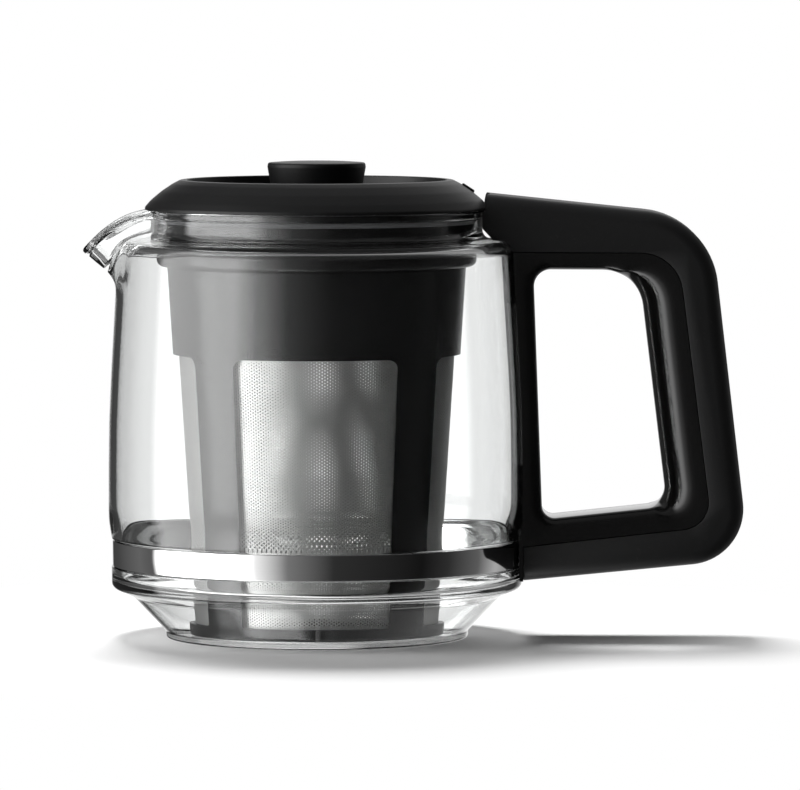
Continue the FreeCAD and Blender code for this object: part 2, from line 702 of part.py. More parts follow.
def lid_knob():
    """Round knob that stands in the lid's recess and narrows downwards."""
    body = turned([
        (0, RECESS_FLOOR_Z, 0),
        (KNOB_FOOT_R, RECESS_FLOOR_Z, 0),
        (KNOB_TOP_R, KNOB_TOP_Z - KNOB_SIDE_H, KNOB_SIDE_ROUND),
        (KNOB_TOP_R - KNOB_CROWN_IN, KNOB_TOP_Z - KNOB_CROWN, KNOB_CROWN_IN),
        (KNOB_TOP_R * KNOB_CROWN_FLAT, KNOB_TOP_Z, KNOB_CROWN_ROUND),
        (0, KNOB_TOP_Z, 0),
    ])
    return body.cut(post(KNOB_SCREW_R + KNOB_SCREW_RUN, 0, RECESS_FLOOR_Z - 1,
                         RECESS_FLOOR_Z + KNOB_SCREW_BITE + 0.5))


def knob_screw():
    """Screw up through the lid into the knob."""
    under_head = PLATE_Z - WASHER_T
    shank = post(KNOB_SCREW_R, 0, under_head, RECESS_FLOOR_Z + KNOB_SCREW_BITE)
    head = post(KNOB_SCREW_HEAD_R, 0, under_head - KNOB_SCREW_HEAD_T, under_head)
    slot = box(-KNOB_SCREW_HEAD_R, KNOB_SCREW_HEAD_R, -0.5, 0.5, under_head - KNOB_SCREW_HEAD_T,
               under_head - KNOB_SCREW_HEAD_T / 2)
    return shank.fuse(head).cut(slot)


def knob_washer():
    """Sealing washer under the knob screw's head."""
    return ring(KNOB_SCREW_R + KNOB_SCREW_RUN, WASHER_R, PLATE_Z - WASHER_T, PLATE_Z)


def cone_r(z):
    """Outside radius of the basket's frame at one height."""
    share = (z - FLOOR_RING_Z) / (COLLAR_Z - FLOOR_RING_Z)
    return CONE_FOOT_R + share * (CONE_TOP_R - CONE_FOOT_R)


def infuser_collar():
    """Collar of the basket with the tongue and lugs that lock into the lid."""
    tongue_in = TONGUE_R - TONGUE_T
    body = turned([
        (tongue_in, COLLAR_Z, 0),
        (COLLAR_R, COLLAR_Z, COLLAR_ROUND),
        (COLLAR_R, COLLAR_TOP_Z, 0.5),
        (TONGUE_R, COLLAR_TOP_Z, 0),
        (TONGUE_R, TONGUE_TOP_Z, 0.5),
        (tongue_in, TONGUE_TOP_Z, 0.5),
    ])
    for middle in lug_directions():
        body = body.fuse(ring_sector(TONGUE_R - 0.5, LUG_R, LUG_Z, LUG_Z + LUG_H, middle, LUG_HALF_DEG))
    return body


def infuser_frame():
    """Tapered frame of the basket with four tall windows."""
    foot = cone_r(FRAME_FOOT_Z)
    top = cone_r(COLLAR_Z)
    body = turned([
        (foot - FRAME_T, FRAME_FOOT_Z, 0),
        (foot, FRAME_FOOT_Z, 0),
        (top, COLLAR_Z, 0),
        (top - FRAME_T, COLLAR_Z, 0),
    ])
    sine = math.sin(math.radians(WINDOW_HALF_DEG))
    half_top = cone_r(WINDOW_TOP_Z) * sine
    half_foot = cone_r(WINDOW_FOOT_Z) * sine
    wire = rounded_wire([
        (-half_foot, WINDOW_FOOT_Z, 1.2),
        (half_foot, WINDOW_FOOT_Z, 1.2),
        (half_top, WINDOW_TOP_Z, WINDOW_ROUND),
        (-half_top, WINDOW_TOP_Z, WINDOW_ROUND),
    ])
    for i in range(WINDOW_COUNT):
        window = Part.Face(wire).extrude(Vector(0, CONE_TOP_R + 5, 0))
        window.rotate(ORIGIN, AXIS, 360.0 / WINDOW_COUNT * i)
        body = body.cut(window)
    return body


def mesh_panel(direction):
    """Perforated steel sheet behind one window, drawn here as a plain sheet."""
    low = WINDOW_FOOT_Z - MESH_LAP
    high = WINDOW_TOP_Z + MESH_LAP
    corners = [
        (cone_r(low) - FRAME_T - MESH_T, low, 0),
        (cone_r(low) - FRAME_T, low, 0),
        (cone_r(high) - FRAME_T, high, 0),
        (cone_r(high) - FRAME_T - MESH_T, high, 0),
    ]
    half = WINDOW_HALF_DEG + MESH_LAP_DEG
    panel = turned(corners, 2 * half)
    panel.rotate(ORIGIN, AXIS, direction - half)
    return panel


def mesh_floor():
    """Perforated steel disc in the foot of the basket, drawn here as a plain sheet."""
    radius = CONE_FOOT_R - FLOOR_RING_LIP - 0.2
    return ring(0, radius, FRAME_FOOT_Z - MESH_T, FRAME_FOOT_Z)


def infuser_foot_ring():
    """Ring under the frame that holds the mesh floor."""
    outer = cone_r(FLOOR_RING_Z)
    lip_r = outer - FLOOR_RING_LIP
    inner = outer - FLOOR_RING_W
    return turned([
        (inner, FLOOR_RING_Z, 0.4),
        (outer, FLOOR_RING_Z, 0.6),
        (outer, FRAME_FOOT_Z, 0),
        (lip_r, FRAME_FOOT_Z, 0),
        (lip_r, FRAME_FOOT_Z - MESH_T, 0),
        (inner, FRAME_FOOT_Z - MESH_T, 0),
    ])


write("glass_vessel", glass_vessel())
write("steel_band", steel_band())
write("band_clamp_screw", band_clamp_screw())
write("band_clamp_nut", band_clamp_nut())
write("handle_shell", handle_shell())
write("handle_liner", handle_liner())
write("handle_screws", handle_screws())
write("handle_bond_pad", handle_bond_pad())
write("lid_cap", lid_cap())
write("lid_insert", lid_insert())
write("lid_gasket", lid_gasket())
write("lid_knob", lid_knob())
write("knob_screw", knob_screw())
write("knob_washer", knob_washer())
write("infuser_collar", infuser_collar())
write("infuser_frame", infuser_frame())
write("mesh_panel_handle", mesh_panel(0))
write("mesh_panel_back", mesh_panel(90))
write("mesh_panel_spout", mesh_panel(180))
write("mesh_panel_front", mesh_panel(270))
write("mesh_floor", mesh_floor())
write("infuser_foot_ring", infuser_foot_ring())
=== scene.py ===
import math

import bmesh
import bpy
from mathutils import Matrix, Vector
from mathutils.geometry import interpolate_bezier


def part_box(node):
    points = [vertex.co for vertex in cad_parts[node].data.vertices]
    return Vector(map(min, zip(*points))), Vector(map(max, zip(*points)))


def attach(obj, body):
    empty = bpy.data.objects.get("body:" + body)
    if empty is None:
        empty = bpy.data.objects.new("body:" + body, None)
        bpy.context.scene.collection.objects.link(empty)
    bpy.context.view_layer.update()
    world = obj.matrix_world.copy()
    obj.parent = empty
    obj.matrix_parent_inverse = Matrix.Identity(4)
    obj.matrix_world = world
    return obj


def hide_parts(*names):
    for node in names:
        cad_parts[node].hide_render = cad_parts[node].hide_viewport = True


bl_info = {
    "name": "Glass tea pot",
    "version": (1, 0, 0),
    "blender": (4, 5, 0),
    "location": "3D View > Sidebar > Tea pot",
    "description": "Dresses a glass tea pot with its lid, handle and infuser basket",
    "category": "Mesh",
}

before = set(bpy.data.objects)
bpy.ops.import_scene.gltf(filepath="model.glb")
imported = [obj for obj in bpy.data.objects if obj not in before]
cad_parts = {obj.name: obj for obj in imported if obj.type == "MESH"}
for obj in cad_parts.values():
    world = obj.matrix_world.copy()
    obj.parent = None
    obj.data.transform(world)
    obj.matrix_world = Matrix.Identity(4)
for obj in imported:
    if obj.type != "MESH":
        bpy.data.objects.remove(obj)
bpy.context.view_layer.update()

MM = 0.001
RIM_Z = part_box("glass_vessel")[1].z
BAND_LOW, BAND_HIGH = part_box("steel_band")
LID_LOW, LID_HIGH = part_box("lid_cap")
KNOB_LOW, KNOB_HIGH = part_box("lid_knob")
COLLAR_LOW, COLLAR_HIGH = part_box("infuser_collar")
CONE_LOW, CONE_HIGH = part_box("infuser_frame")
SHELL_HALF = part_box("handle_shell")[1].y
LINER_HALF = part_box("handle_liner")[1].y
PLATE_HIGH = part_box("lid_insert")[1].z

# Sizes that more than one piece shares, in millimetres where MM isn't in them
SHOULDER_R = 71.2
SHOULDER_Z = 142.4
FOOT_R = 73.8
WAIST_Z = 78.0
BARREL_ROUND = 1200.0
HOOK_X = 56.0
HEEL_X = 74.1
SEAM_FOOT_Z = 33.2
FIT = 0.3 * MM
CONE_FOOT_Z = 2.7 * MM
CONE_FOOT_R = 45.4
CONE_TOP_R = 53.6
FRAME_THICK = 2.1 * MM
WINDOW_HALF = math.radians(34.2)
SHEET_HALF = math.radians(36.0)
LUGS = (45, 135, 225, 315)


class GlassSizes(bpy.types.PropertyGroup):
    """Sizes and colour of the blown glass."""

    wall: bpy.props.FloatProperty(
        name="Wall", description="Thickness of the glass wall",
        default=2.7 * MM, min=0.001, unit="LENGTH")
    floor: bpy.props.FloatProperty(
        name="Floor", description="Thickness of the glass floor",
        default=2.0 * MM, min=0.001, unit="LENGTH")
    lip_half_angle: bpy.props.FloatProperty(
        name="Lip half angle", description="Half of the angle that the pouring lip takes out of the neck",
        default=math.radians(17), subtype="ANGLE", unit="ROTATION")
    tint: bpy.props.FloatVectorProperty(
        name="Tint", description="Colour of the clear glass",
        default=(0.985, 0.992, 0.99), subtype="COLOR", min=0, max=1)


class HandleSizes(bpy.types.PropertyGroup):
    """Sizes and colours of the two halves of the handle."""

    outer_round: bpy.props.FloatProperty(
        name="Outer rounding", description="Rounding of the shell's long edges",
        default=5.5 * MM, unit="LENGTH")
    grip_round: bpy.props.FloatProperty(
        name="Grip rounding", description="Rounding of the liner along the grip",
        default=11.0 * MM, unit="LENGTH")
    rim_share: bpy.props.FloatProperty(
        name="Rim share", description="Share of the grip's rounding on the other sides of the opening",
        default=0.32, min=0.05, max=1)
    shell_colour: bpy.props.FloatVectorProperty(
        name="Shell colour", description="Colour of the matte shell",
        default=(0.006, 0.006, 0.0063), subtype="COLOR", min=0, max=1)
    liner_colour: bpy.props.FloatVectorProperty(
        name="Liner colour", description="Colour of the glossy liner",
        default=(0.004, 0.004, 0.004), subtype="COLOR", min=0, max=1)


class LidSizes(bpy.types.PropertyGroup):
    """Sizes and colours of the lid."""

    rim_width: bpy.props.FloatProperty(
        name="Rim width", description="Width of the flat rim round the recess",
        default=1.4 * MM, unit="LENGTH")
    recess_depth: bpy.props.FloatProperty(
        name="Recess depth", description="Depth of the recess round the knob",
        default=6.8 * MM, unit="LENGTH")
    colour: bpy.props.FloatVectorProperty(
        name="Colour", description="Colour of the matte lid",
        default=(0.004, 0.004, 0.0042), subtype="COLOR", min=0, max=1)
    gasket_colour: bpy.props.FloatVectorProperty(
        name="Gasket colour", description="Colour of the silicone gasket",
        default=(0.14, 0.14, 0.145), subtype="COLOR", min=0, max=1)


class BasketSizes(bpy.types.PropertyGroup):
    """Sizes and colours of the infuser basket."""

    hole: bpy.props.FloatProperty(
        name="Hole", description="Diameter of one hole in the steel sheet",
        default=0.62 * MM, unit="LENGTH")
    row_pitch: bpy.props.FloatProperty(
        name="Row pitch", description="Distance between holes in one column",
        default=1.13 * MM, unit="LENGTH")
    sheet: bpy.props.FloatProperty(
        name="Sheet", description="Thickness of the steel sheet",
        default=0.3 * MM, unit="LENGTH")
    colour: bpy.props.FloatVectorProperty(
        name="Colour", description="Colour of the basket's plastic",
        default=(0.008, 0.008, 0.008), subtype="COLOR", min=0, max=1)
    steel: bpy.props.FloatVectorProperty(
        name="Steel", description="Colour of the stainless steel",
        default=(0.62, 0.62, 0.61), subtype="COLOR", min=0, max=1)


class StageSizes(bpy.types.PropertyGroup):
    """Camera, floor and light."""

    distance: bpy.props.FloatProperty(
        name="Camera distance", description="Level distance from the pot's axis to the camera",
        default=2.670, unit="LENGTH")
    height: bpy.props.FloatProperty(
        name="Camera height", description="Height of the camera over the floor",
        default=0.2533, unit="LENGTH")
    aside: bpy.props.FloatProperty(
        name="Camera aside", description="How far the camera stands towards the handle",
        default=0.0299, unit="LENGTH")
    pitch: bpy.props.FloatProperty(
        name="Camera pitch", description="How far the camera looks down",
        default=math.radians(3.566), subtype="ANGLE", unit="ROTATION")
    lens: bpy.props.FloatProperty(
        name="Lens", description="Focal length on a sensor 36 mm wide, in millimetres",
        default=335.07)
    softbox: bpy.props.FloatProperty(
        name="Softbox", description="Brightness of the large softbox on the left",
        default=3.4, min=0)
    back_size: bpy.props.FloatProperty(
        name="Back light size", description="Side of the softbox behind the pot",
        default=0.35, unit="LENGTH")
    back_power: bpy.props.FloatProperty(
        name="Back light power", description="Power of the softbox behind the pot, in watts",
        default=17.0, min=0)
    side_size: bpy.props.FloatProperty(
        name="Side light size", description="Side of the softbox on the left of the pot",
        default=0.5, unit="LENGTH")
    side_power: bpy.props.FloatProperty(
        name="Side light power", description="Power of the softbox on the left of the pot, in watts",
        default=2.0, min=0)
    floor_colour: bpy.props.FloatVectorProperty(
        name="Floor colour", description="Colour of the pale floor",
        default=(0.82, 0.82, 0.82), subtype="COLOR", min=0, max=1)


def millimetres(corners):
    """The same corners in metres."""
    return [tuple(value * MM for value in corner) for corner in corners]


def rounded(corners, closed=True, turn=12.0):
    """Points of an outline through (x, z, radius) corners, each corner rounded by an arc."""
    points = []
    count = len(corners)
    for i, (x, z, radius) in enumerate(corners):
        here = Vector((x, z))
        end = not closed and i in (0, count - 1)
        if radius == 0 or end:
            points.append(here)
            continue
        back = Vector(corners[i - 1][:2]) - here
        ahead = Vector(corners[(i + 1) % count][:2]) - here
        half = back.angle(ahead) / 2
        shorter = min(back.length, ahead.length)
        radius = min(radius, 0.49 * shorter * math.tan(half))
        leg = radius / math.tan(half)
        start = here + back.normalized() * leg
        finish = here + ahead.normalized() * leg
        centre = here + (back.normalized() + ahead.normalized()).normalized() * radius / math.sin(half)
        sweep = math.pi - 2 * half
        steps = max(2, math.ceil(math.degrees(sweep) / turn))
        side = 1 if back.x * ahead.y - back.y * ahead.x < 0 else -1
        for k in range(steps + 1):
            angle = side * sweep * k / steps
            arm = start - centre
            points.append(centre + Vector((arm.x * math.cos(angle) - arm.y * math.sin(angle),
                                           arm.x * math.sin(angle) + arm.y * math.cos(angle))))
        if (points[-1] - finish).length > 1e-6:
            raise RuntimeError("an outline's arc doesn't meet its edge")
    return points


def spread(points, longest):
    """The same chain of points with long stretches divided."""
    result = [points[0]]
    for point in points[1:]:
        run = point - result[-1]
        parts = max(1, math.ceil(run.length / longest))
        start = result[-1]
        for k in range(1, parts + 1):
            result.append(start + run * k / parts)
    return result


def clear_selection():
    """Leaves edit mode with nothing selected."""
    if bpy.context.object and bpy.context.object.mode != "OBJECT":
        bpy.ops.object.mode_set(mode="OBJECT")
    bpy.ops.object.select_all(action="DESELECT")


def pick(piece):
    """Makes a piece the only selected and active one."""
    clear_selection()
    piece.select_set(True)
    bpy.context.view_layer.objects.active = piece


def trace(name, points, closed):
    """New piece in edit mode: a chain of edges in the XZ plane, drawn by extruding one vertex."""
    clear_selection()
    bpy.ops.mesh.primitive_plane_add(size=MM, location=(0, 0, 0))
    piece = bpy.context.object
    piece.name = name
    piece.data.name = name
    bpy.ops.object.mode_set(mode="EDIT")
    bpy.ops.mesh.select_mode(type="VERT")
    bpy.ops.mesh.select_all(action="SELECT")
    bpy.ops.mesh.merge(type="CENTER")
    here = Vector((points[0][0], 0, points[0][1]))
    bpy.ops.transform.translate(value=here)
    following = list(points[1:]) + ([points[0]] if closed else [])
    for point in following:
        there = Vector((point[0], 0, point[1]))
        bpy.ops.mesh.extrude_region_move(TRANSFORM_OT_translate={"value": there - here})
        here = there
    bpy.ops.mesh.select_all(action="SELECT")
    bpy.ops.mesh.remove_doubles(threshold=1e-7)
    return piece


def close_up():
    """Merges doubles and turns the faces outwards, then leaves edit mode."""
    bpy.ops.mesh.select_all(action="SELECT")
    bpy.ops.mesh.remove_doubles(threshold=2e-6)
    bpy.ops.mesh.normals_make_consistent(inside=False)
    bpy.ops.object.mode_set(mode="OBJECT")


def turned(name, points, closed=True, steps=128):
    """Piece spun about the pot's axis from an outline in (radius, height) points."""
    piece = trace(name, points, closed)
    bpy.ops.mesh.spin(steps=steps, angle=math.tau, center=(0, 0, 0), axis=(0, 0, 1))
    close_up()
    return piece


def board(name, points, half):
    """Piece with a side outline, as wide as half to both sides of the middle plane."""
    piece = trace(name, points, True)
    bpy.ops.transform.translate(value=(0, -half, 0))
    bpy.ops.mesh.edge_face_add()
    bpy.ops.mesh.extrude_region_move(TRANSFORM_OT_translate={"value": (0, 2 * half, 0)})
    close_up()
    return piece


def modify(piece, name, kind, **settings):
    """Adds a modifier to a piece and applies it."""
    pick(piece)
    step = piece.modifiers.new(name, kind)
    for setting, value in settings.items():
        setattr(step, setting, value)
    bpy.ops.object.modifier_apply(modifier=step.name)


def combine(piece, other, operation):
    """Boolean of a piece with another one, which is used up."""
    modify(piece, operation.capitalize(), "BOOLEAN", operation=operation, solver="EXACT", object=other)
    bpy.data.objects.remove(other)


def cut(piece, tool):
    """Takes the tool's space out of the piece."""
    combine(piece, tool, "DIFFERENCE")


def block(reach, height, degrees, size):
    """Block for cutting, so far from the axis, so high and turned so far round."""
    clear_selection()
    angle = math.radians(degrees)
    bpy.ops.mesh.primitive_cube_add(
        size=1, location=(reach * math.cos(angle), reach * math.sin(angle), height),
        rotation=(0, 0, angle), scale=size)
    bpy.ops.object.transform_apply(location=True, rotation=True, scale=True)
    return bpy.context.object


def smooth(piece, degrees=32):
    """Smooth shading with sharp edges kept sharp."""
    pick(piece)
    bpy.ops.object.shade_smooth_by_angle(angle=math.radians(degrees))


def soften(piece, width, segments=2, degrees=40):
    """Small rounding on every sharp edge."""
    modify(piece, "Edges", "BEVEL", width=width, segments=segments, limit_method="ANGLE",
           angle_limit=math.radians(degrees), harden_normals=False)


def dress(piece, finish, slot, body, *nodes):
    """Gives a finished piece its material and body, in place of its CAD nodes; its slot is not used."""
    piece.data.materials.clear()
    piece.data.materials.append(bpy.data.materials[finish])
    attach(piece, body)
    if nodes:
        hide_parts(*nodes)


def new_group(name, inputs, outputs):
    """Empty shader node group with the number inputs and outputs named."""
    group = bpy.data.node_groups.new(name, "ShaderNodeTree")
    for label, value in inputs.items():
        socket = group.interface.new_socket(label, in_out="INPUT", socket_type="NodeSocketFloat")
        socket.default_value = value
    for label in outputs:
        group.interface.new_socket(label, in_out="OUTPUT", socket_type="NodeSocketFloat")
    group.nodes.new("NodeGroupInput")
    group.nodes.new("NodeGroupOutput")
    return group


def wire(tree, source, output, target, socket):
    """Links one named output to one named socket."""
    tree.links.new(source.outputs[output], target.inputs[socket])


def math_node(tree, operation, first, second):
    """Math node whose inputs are numbers or (node, output) pairs."""
    node = tree.nodes.new("ShaderNodeMath")
    node.operation = operation
    for i, value in enumerate((first, second)):
        if isinstance(value, tuple):
            tree.links.new(value[0].outputs[value[1]], node.inputs[i])
        else:
            node.inputs[i].default_value = value
    return node


def noise(tree, scale, detail, stretch=None):
    """Noise on object coordinates, stretched if asked."""
    coordinates = tree.nodes.new("ShaderNodeTexCoord")
    node = tree.nodes.new("ShaderNodeTexNoise")
    node.inputs["Detail"].default_value = detail
    if isinstance(scale, tuple):
        tree.links.new(scale[0].outputs[scale[1]], node.inputs["Scale"])
    else:
        node.inputs["Scale"].default_value = scale
    if stretch:
        mapping = tree.nodes.new("ShaderNodeMapping")
        mapping.inputs["Scale"].default_value = stretch
        wire(tree, coordinates, "Object", mapping, "Vector")
        wire(tree, mapping, "Vector", node, "Vector")
    else:
        wire(tree, coordinates, "Object", node, "Vector")
    return node


def moulded_group():
    """Fine grain of moulded plastic with faint rubbed patches: gives roughness, height and dust."""
    group = new_group("Moulded surface", {"Grain": 2600.0, "Roughness": 0.45, "Rubbed": 0.08, "Dust": 0.02},
                      ("Roughness", "Height", "Dust"))
    source = group.nodes["Group Input"]
    target = group.nodes["Group Output"]
    grain = noise(group, (source, "Grain"), 3.0)
    patches = noise(group, 38.0, 4.0)
    centred = math_node(group, "SUBTRACT", (patches, "Fac"), 0.5)
    swing = math_node(group, "MULTIPLY", (centred, "Value"), (source, "Rubbed"))
    rough = math_node(group, "ADD", (swing, "Value"), (source, "Roughness"))
    fine = math_node(group, "MULTIPLY", (grain, "Fac"), 0.03)
    total = math_node(group, "ADD", (rough, "Value"), (fine, "Value"))
    specks = noise(group, 900.0, 2.0)
    lone = math_node(group, "GREATER_THAN", (specks, "Fac"), 0.71)
    dust = math_node(group, "MULTIPLY", (lone, "Value"), (source, "Dust"))
    wire(group, total, "Value", target, "Roughness")
    wire(group, grain, "Fac", target, "Height")
    wire(group, dust, "Value", target, "Dust")
    return group


def polished_group():
    """Polished or rolled steel: streaks, faint wipe marks and a gentle height."""
    group = new_group("Steel surface", {"Roughness": 0.08, "Streaks": 0.05, "Wipes": 0.05},
                      ("Roughness", "Height", "Tone"))
    source = group.nodes["Group Input"]
    target = group.nodes["Group Output"]
    streaks = noise(group, 60.0, 5.0, stretch=(1.0, 1.0, 40.0))
    wipes = noise(group, 22.0, 3.0)
    streak_part = math_node(group, "MULTIPLY", (streaks, "Fac"), (source, "Streaks"))
    wipe_part = math_node(group, "MULTIPLY", (wipes, "Fac"), (source, "Wipes"))
    both = math_node(group, "ADD", (streak_part, "Value"), (wipe_part, "Value"))
    rough = math_node(group, "ADD", (both, "Value"), (source, "Roughness"))
    darker = math_node(group, "MULTIPLY", (streaks, "Fac"), 0.12)
    tone = math_node(group, "SUBTRACT", 1.0, (darker, "Value"))
    wire(group, rough, "Value", target, "Roughness")
    wire(group, streaks, "Fac", target, "Height")
    wire(group, tone, "Value", target, "Tone")
    return group


def new_material(name):
    """Material with a Principled shader: the material, its tree and the shader."""
    material = bpy.data.materials.new(name)
    material.use_nodes = True
    tree = material.node_tree
    return material, tree, tree.nodes["Principled BSDF"]


def put_group(tree, group, **values):
    """Places a shared group in a material with its own values."""
    node = tree.nodes.new("ShaderNodeGroup")
    node.node_tree = group
    for label, value in values.items():
        node.inputs[label].default_value = value
    return node


def bump(tree, source, output, shader, strength, distance):
    """Feeds a height into the shader's normal."""
    node = tree.nodes.new("ShaderNodeBump")
    node.inputs["Strength"].default_value = strength
    node.inputs["Distance"].default_value = distance
    wire(tree, source, output, node, "Height")
    wire(tree, node, "Normal", shader, "Normal")


def two_tone(tree, shader, first, second, source, output):
    """Base colour between two colours by one output of a group."""
    mix = tree.nodes.new("ShaderNodeMix")
    mix.data_type = "RGBA"
    mix.inputs["A"].default_value = (*first, 1)
    mix.inputs["B"].default_value = (*second, 1)
    wire(tree, source, output, mix, "Factor")
    tree.links.new(mix.outputs["Result"], shader.inputs["Base Color"])


def plastic(name, colour, roughness, grain, grain_height, rubbed=0.08, dust=0.02, shine=0.5):
    """Moulded plastic in one colour with grain, rubbed patches and a few specks of dust."""
    material, tree, shader = new_material(name)
    surface = put_group(tree, bpy.data.node_groups["Moulded surface"], Grain=grain,
                        Roughness=roughness, Rubbed=rubbed, Dust=dust)
    dust_colour = (0.32, 0.32, 0.31)
    two_tone(tree, shader, colour, dust_colour, surface, "Dust")
    wire(tree, surface, "Roughness", shader, "Roughness")
    shader.inputs["Specular IOR Level"].default_value = shine
    bump(tree, surface, "Height", shader, 0.35, grain_height)
    return material


def steel(name, colour, roughness, streaks, wipes, depth):
    """Stainless steel with streaks and wipe marks."""
    material, tree, shader = new_material(name)
    surface = put_group(tree, bpy.data.node_groups["Steel surface"], Roughness=roughness,
                        Streaks=streaks, Wipes=wipes)
    streak_colour = [value * 0.6 for value in colour]
    two_tone(tree, shader, streak_colour, colour, surface, "Tone")
    wire(tree, surface, "Roughness", shader, "Roughness")
    shader.inputs["Metallic"].default_value = 1.0
    bump(tree, surface, "Height", shader, 0.2, depth)
    return material


def see_through(tree, shader, source, output, colour):
    """Lets light of one colour straight through where the output of a node is 1."""
    through = tree.nodes.new("ShaderNodeBsdfTransparent")
    through.inputs["Color"].default_value = colour
    either = tree.nodes.new("ShaderNodeMixShader")
    wire(tree, source, output, either, "Fac")
    tree.links.new(shader.outputs["BSDF"], either.inputs[1])
    tree.links.new(through.outputs["BSDF"], either.inputs[2])
    wire(tree, either, "Shader", tree.nodes["Material Output"], "Surface")


def clear_glass(colour):
    """Clear glass: light passes straight through it to what stands behind."""
    material, tree, shader = new_material("Clear glass")
    shader.inputs["Base Color"].default_value = (*colour, 1)
    shader.inputs["Metallic"].default_value = 0.0
    shader.inputs["Transmission Weight"].default_value = 1.0
    shader.inputs["IOR"].default_value = 1.5
    smears = noise(tree, 14.0, 3.0)
    rough = math_node(tree, "MULTIPLY", (smears, "Fac"), 0.006)
    wire(tree, rough, "Value", shader, "Roughness")
    ripple = noise(tree, 24.0, 1.0, stretch=(1.0, 1.0, 0.45))
    bump(tree, ripple, "Fac", shader, 0.1, 0.00003)
    path = tree.nodes.new("ShaderNodeLightPath")
    see_through(tree, shader, path, "Is Shadow Ray", (0.7, 0.7, 0.7, 1))
    return material


def make_materials():
    """All finishes of the pot, from the colours in the panel."""
    moulded_group()
    polished_group()
    scene = bpy.context.scene
    handle = scene.pot_handle
    lid = scene.pot_lid
    basket = scene.pot_basket
    clear_glass(scene.pot_glass.tint)
    plastic("Matte handle plastic", handle.shell_colour, 0.46, 2400.0, 0.00012, shine=0.38)
    plastic("Glossy handle plastic", handle.liner_colour, 0.09, 300.0, 0.00002, rubbed=0.05, dust=0.01)
    plastic("Matte lid plastic", lid.colour, 0.4, 2600.0, 0.0001, shine=0.36)
    plastic("Knob plastic", lid.colour, 0.42, 3000.0, 0.0001, shine=0.3)
    plastic("Basket plastic", basket.colour, 0.24, 2000.0, 0.00002, dust=0.0)
    plastic("Grey silicone", lid.gasket_colour, 0.4, 1200.0, 0.00005)
    plastic("Clear pad silicone", (0.3, 0.3, 0.3), 0.35, 1200.0, 0.00005)
    steel("Polished steel", (0.86, 0.86, 0.86), 0.03, 0.03, 0.02, 0.00001)
    steel("Perforated steel", basket.steel, 0.38, 0.1, 0.06, 0.00002)
    steel("Fastener steel", (0.55, 0.55, 0.54), 0.3, 0.1, 0.1, 0.00003)


def vessel_chain(sizes):
    """Outline of the glass from the axis, round the outside, over the rim and back inside."""
    wall = sizes.wall / MM
    floor = sizes.floor / MM
    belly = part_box("glass_vessel")[1].x / MM
    rim = RIM_Z / MM
    groove = BAND_HIGH.y / MM - 0.8
    band_low = BAND_LOW.z / MM
    band_high = BAND_HIGH.z / MM
    knee = wall * 0.7
    corners = [
        (0, 0, 0),
        (54.3, 0, 0.9),
        (54.3, 2.4, 0.9),
        (66.5, 15.2, 6.0),
        (FOOT_R, 18.3, 2.6),
        (FOOT_R, band_low - 0.4, 0.3),
        (groove, band_low - 0.1, 0.3),
        (groove, band_high + 0.1, 0.3),
        (FOOT_R, band_high + 0.5, 0.6),
        (belly, band_high + 7.0, 30.0),
        (belly, WAIST_Z, BARREL_ROUND),
        (SHOULDER_R, SHOULDER_Z, 4.6),
        (59.5, 143.6, 3.2),
        (59.5, rim - 2.9, 0.6),
        (60.3, rim - 2.2, 0.6),
        (60.3, rim, 1.15),
        (57.8, rim, 1.15),
        (57.8, 144.6 - wall, 2.4),
        (SHOULDER_R - wall, SHOULDER_Z - wall, 3.0),
        (belly - wall, WAIST_Z, BARREL_ROUND),
        (belly - wall, band_high + 9.0, 30.0),
        (groove - wall + 0.4, band_high, 20.0),
        (groove - wall + 0.4, 18.3 + wall, 4.0),
        (66.5 - knee, 15.2 + knee, 6.0),
        (53.4 - knee, floor, 2.5),
        (0, floor, 0),
    ]
    return spread(rounded(millimetres(corners), closed=False, turn=11.0), 4.0 * MM)


def lip_targets(chain):
    """Where each point of the glass outline lies in the middle of the pouring lip."""
    tip = Vector((82.5, 139.1)) * MM
    ahead = Vector((0.76, 0.65))
    out = Vector((0.65, -0.76))
    rim_centre = Vector((59.0 * MM, RIM_Z - 1.3 * MM))
    neck_end = RIM_Z - 3.0 * MM
    thicker = 1.35
    top = max(range(len(chain)), key=lambda i: chain[i].y)
    start_z = 121.0 * MM
    outer = [i for i in range(top) if chain[i].y > start_z and chain[i].y < neck_end]
    inner = [i for i in range(top, len(chain)) if chain[i].y > start_z and chain[i].y < neck_end]
    inner.reverse()
    targets = {}
    for i, point in enumerate(chain):
        if point.y >= neck_end:
            local = point - rim_centre
            targets[i] = tip + out * local.x * thicker + ahead * local.y
    for members, side in ((outer, 1), (inner, -1)):
        begin = chain[members[0]]
        end = tip + out * side * 1.2 * MM * thicker - ahead * 2.2 * MM
        lift = Vector((-0.001, 0.0065))
        curve = interpolate_bezier(begin.to_3d(), (begin + lift).to_3d(), (end - ahead * 0.0078).to_3d(),
                                   end.to_3d(), 64)
        lengths = [0.0]
        for a, b in zip(members, members[1:]):
            lengths.append(lengths[-1] + (chain[b] - chain[a]).length)
        for i, run in zip(members, lengths):
            place = run / lengths[-1] * 63
            low = min(int(place), 62)
            there = curve[low].lerp(curve[low + 1], place - low)
            targets[i] = Vector((there.x, there.y))
    return targets


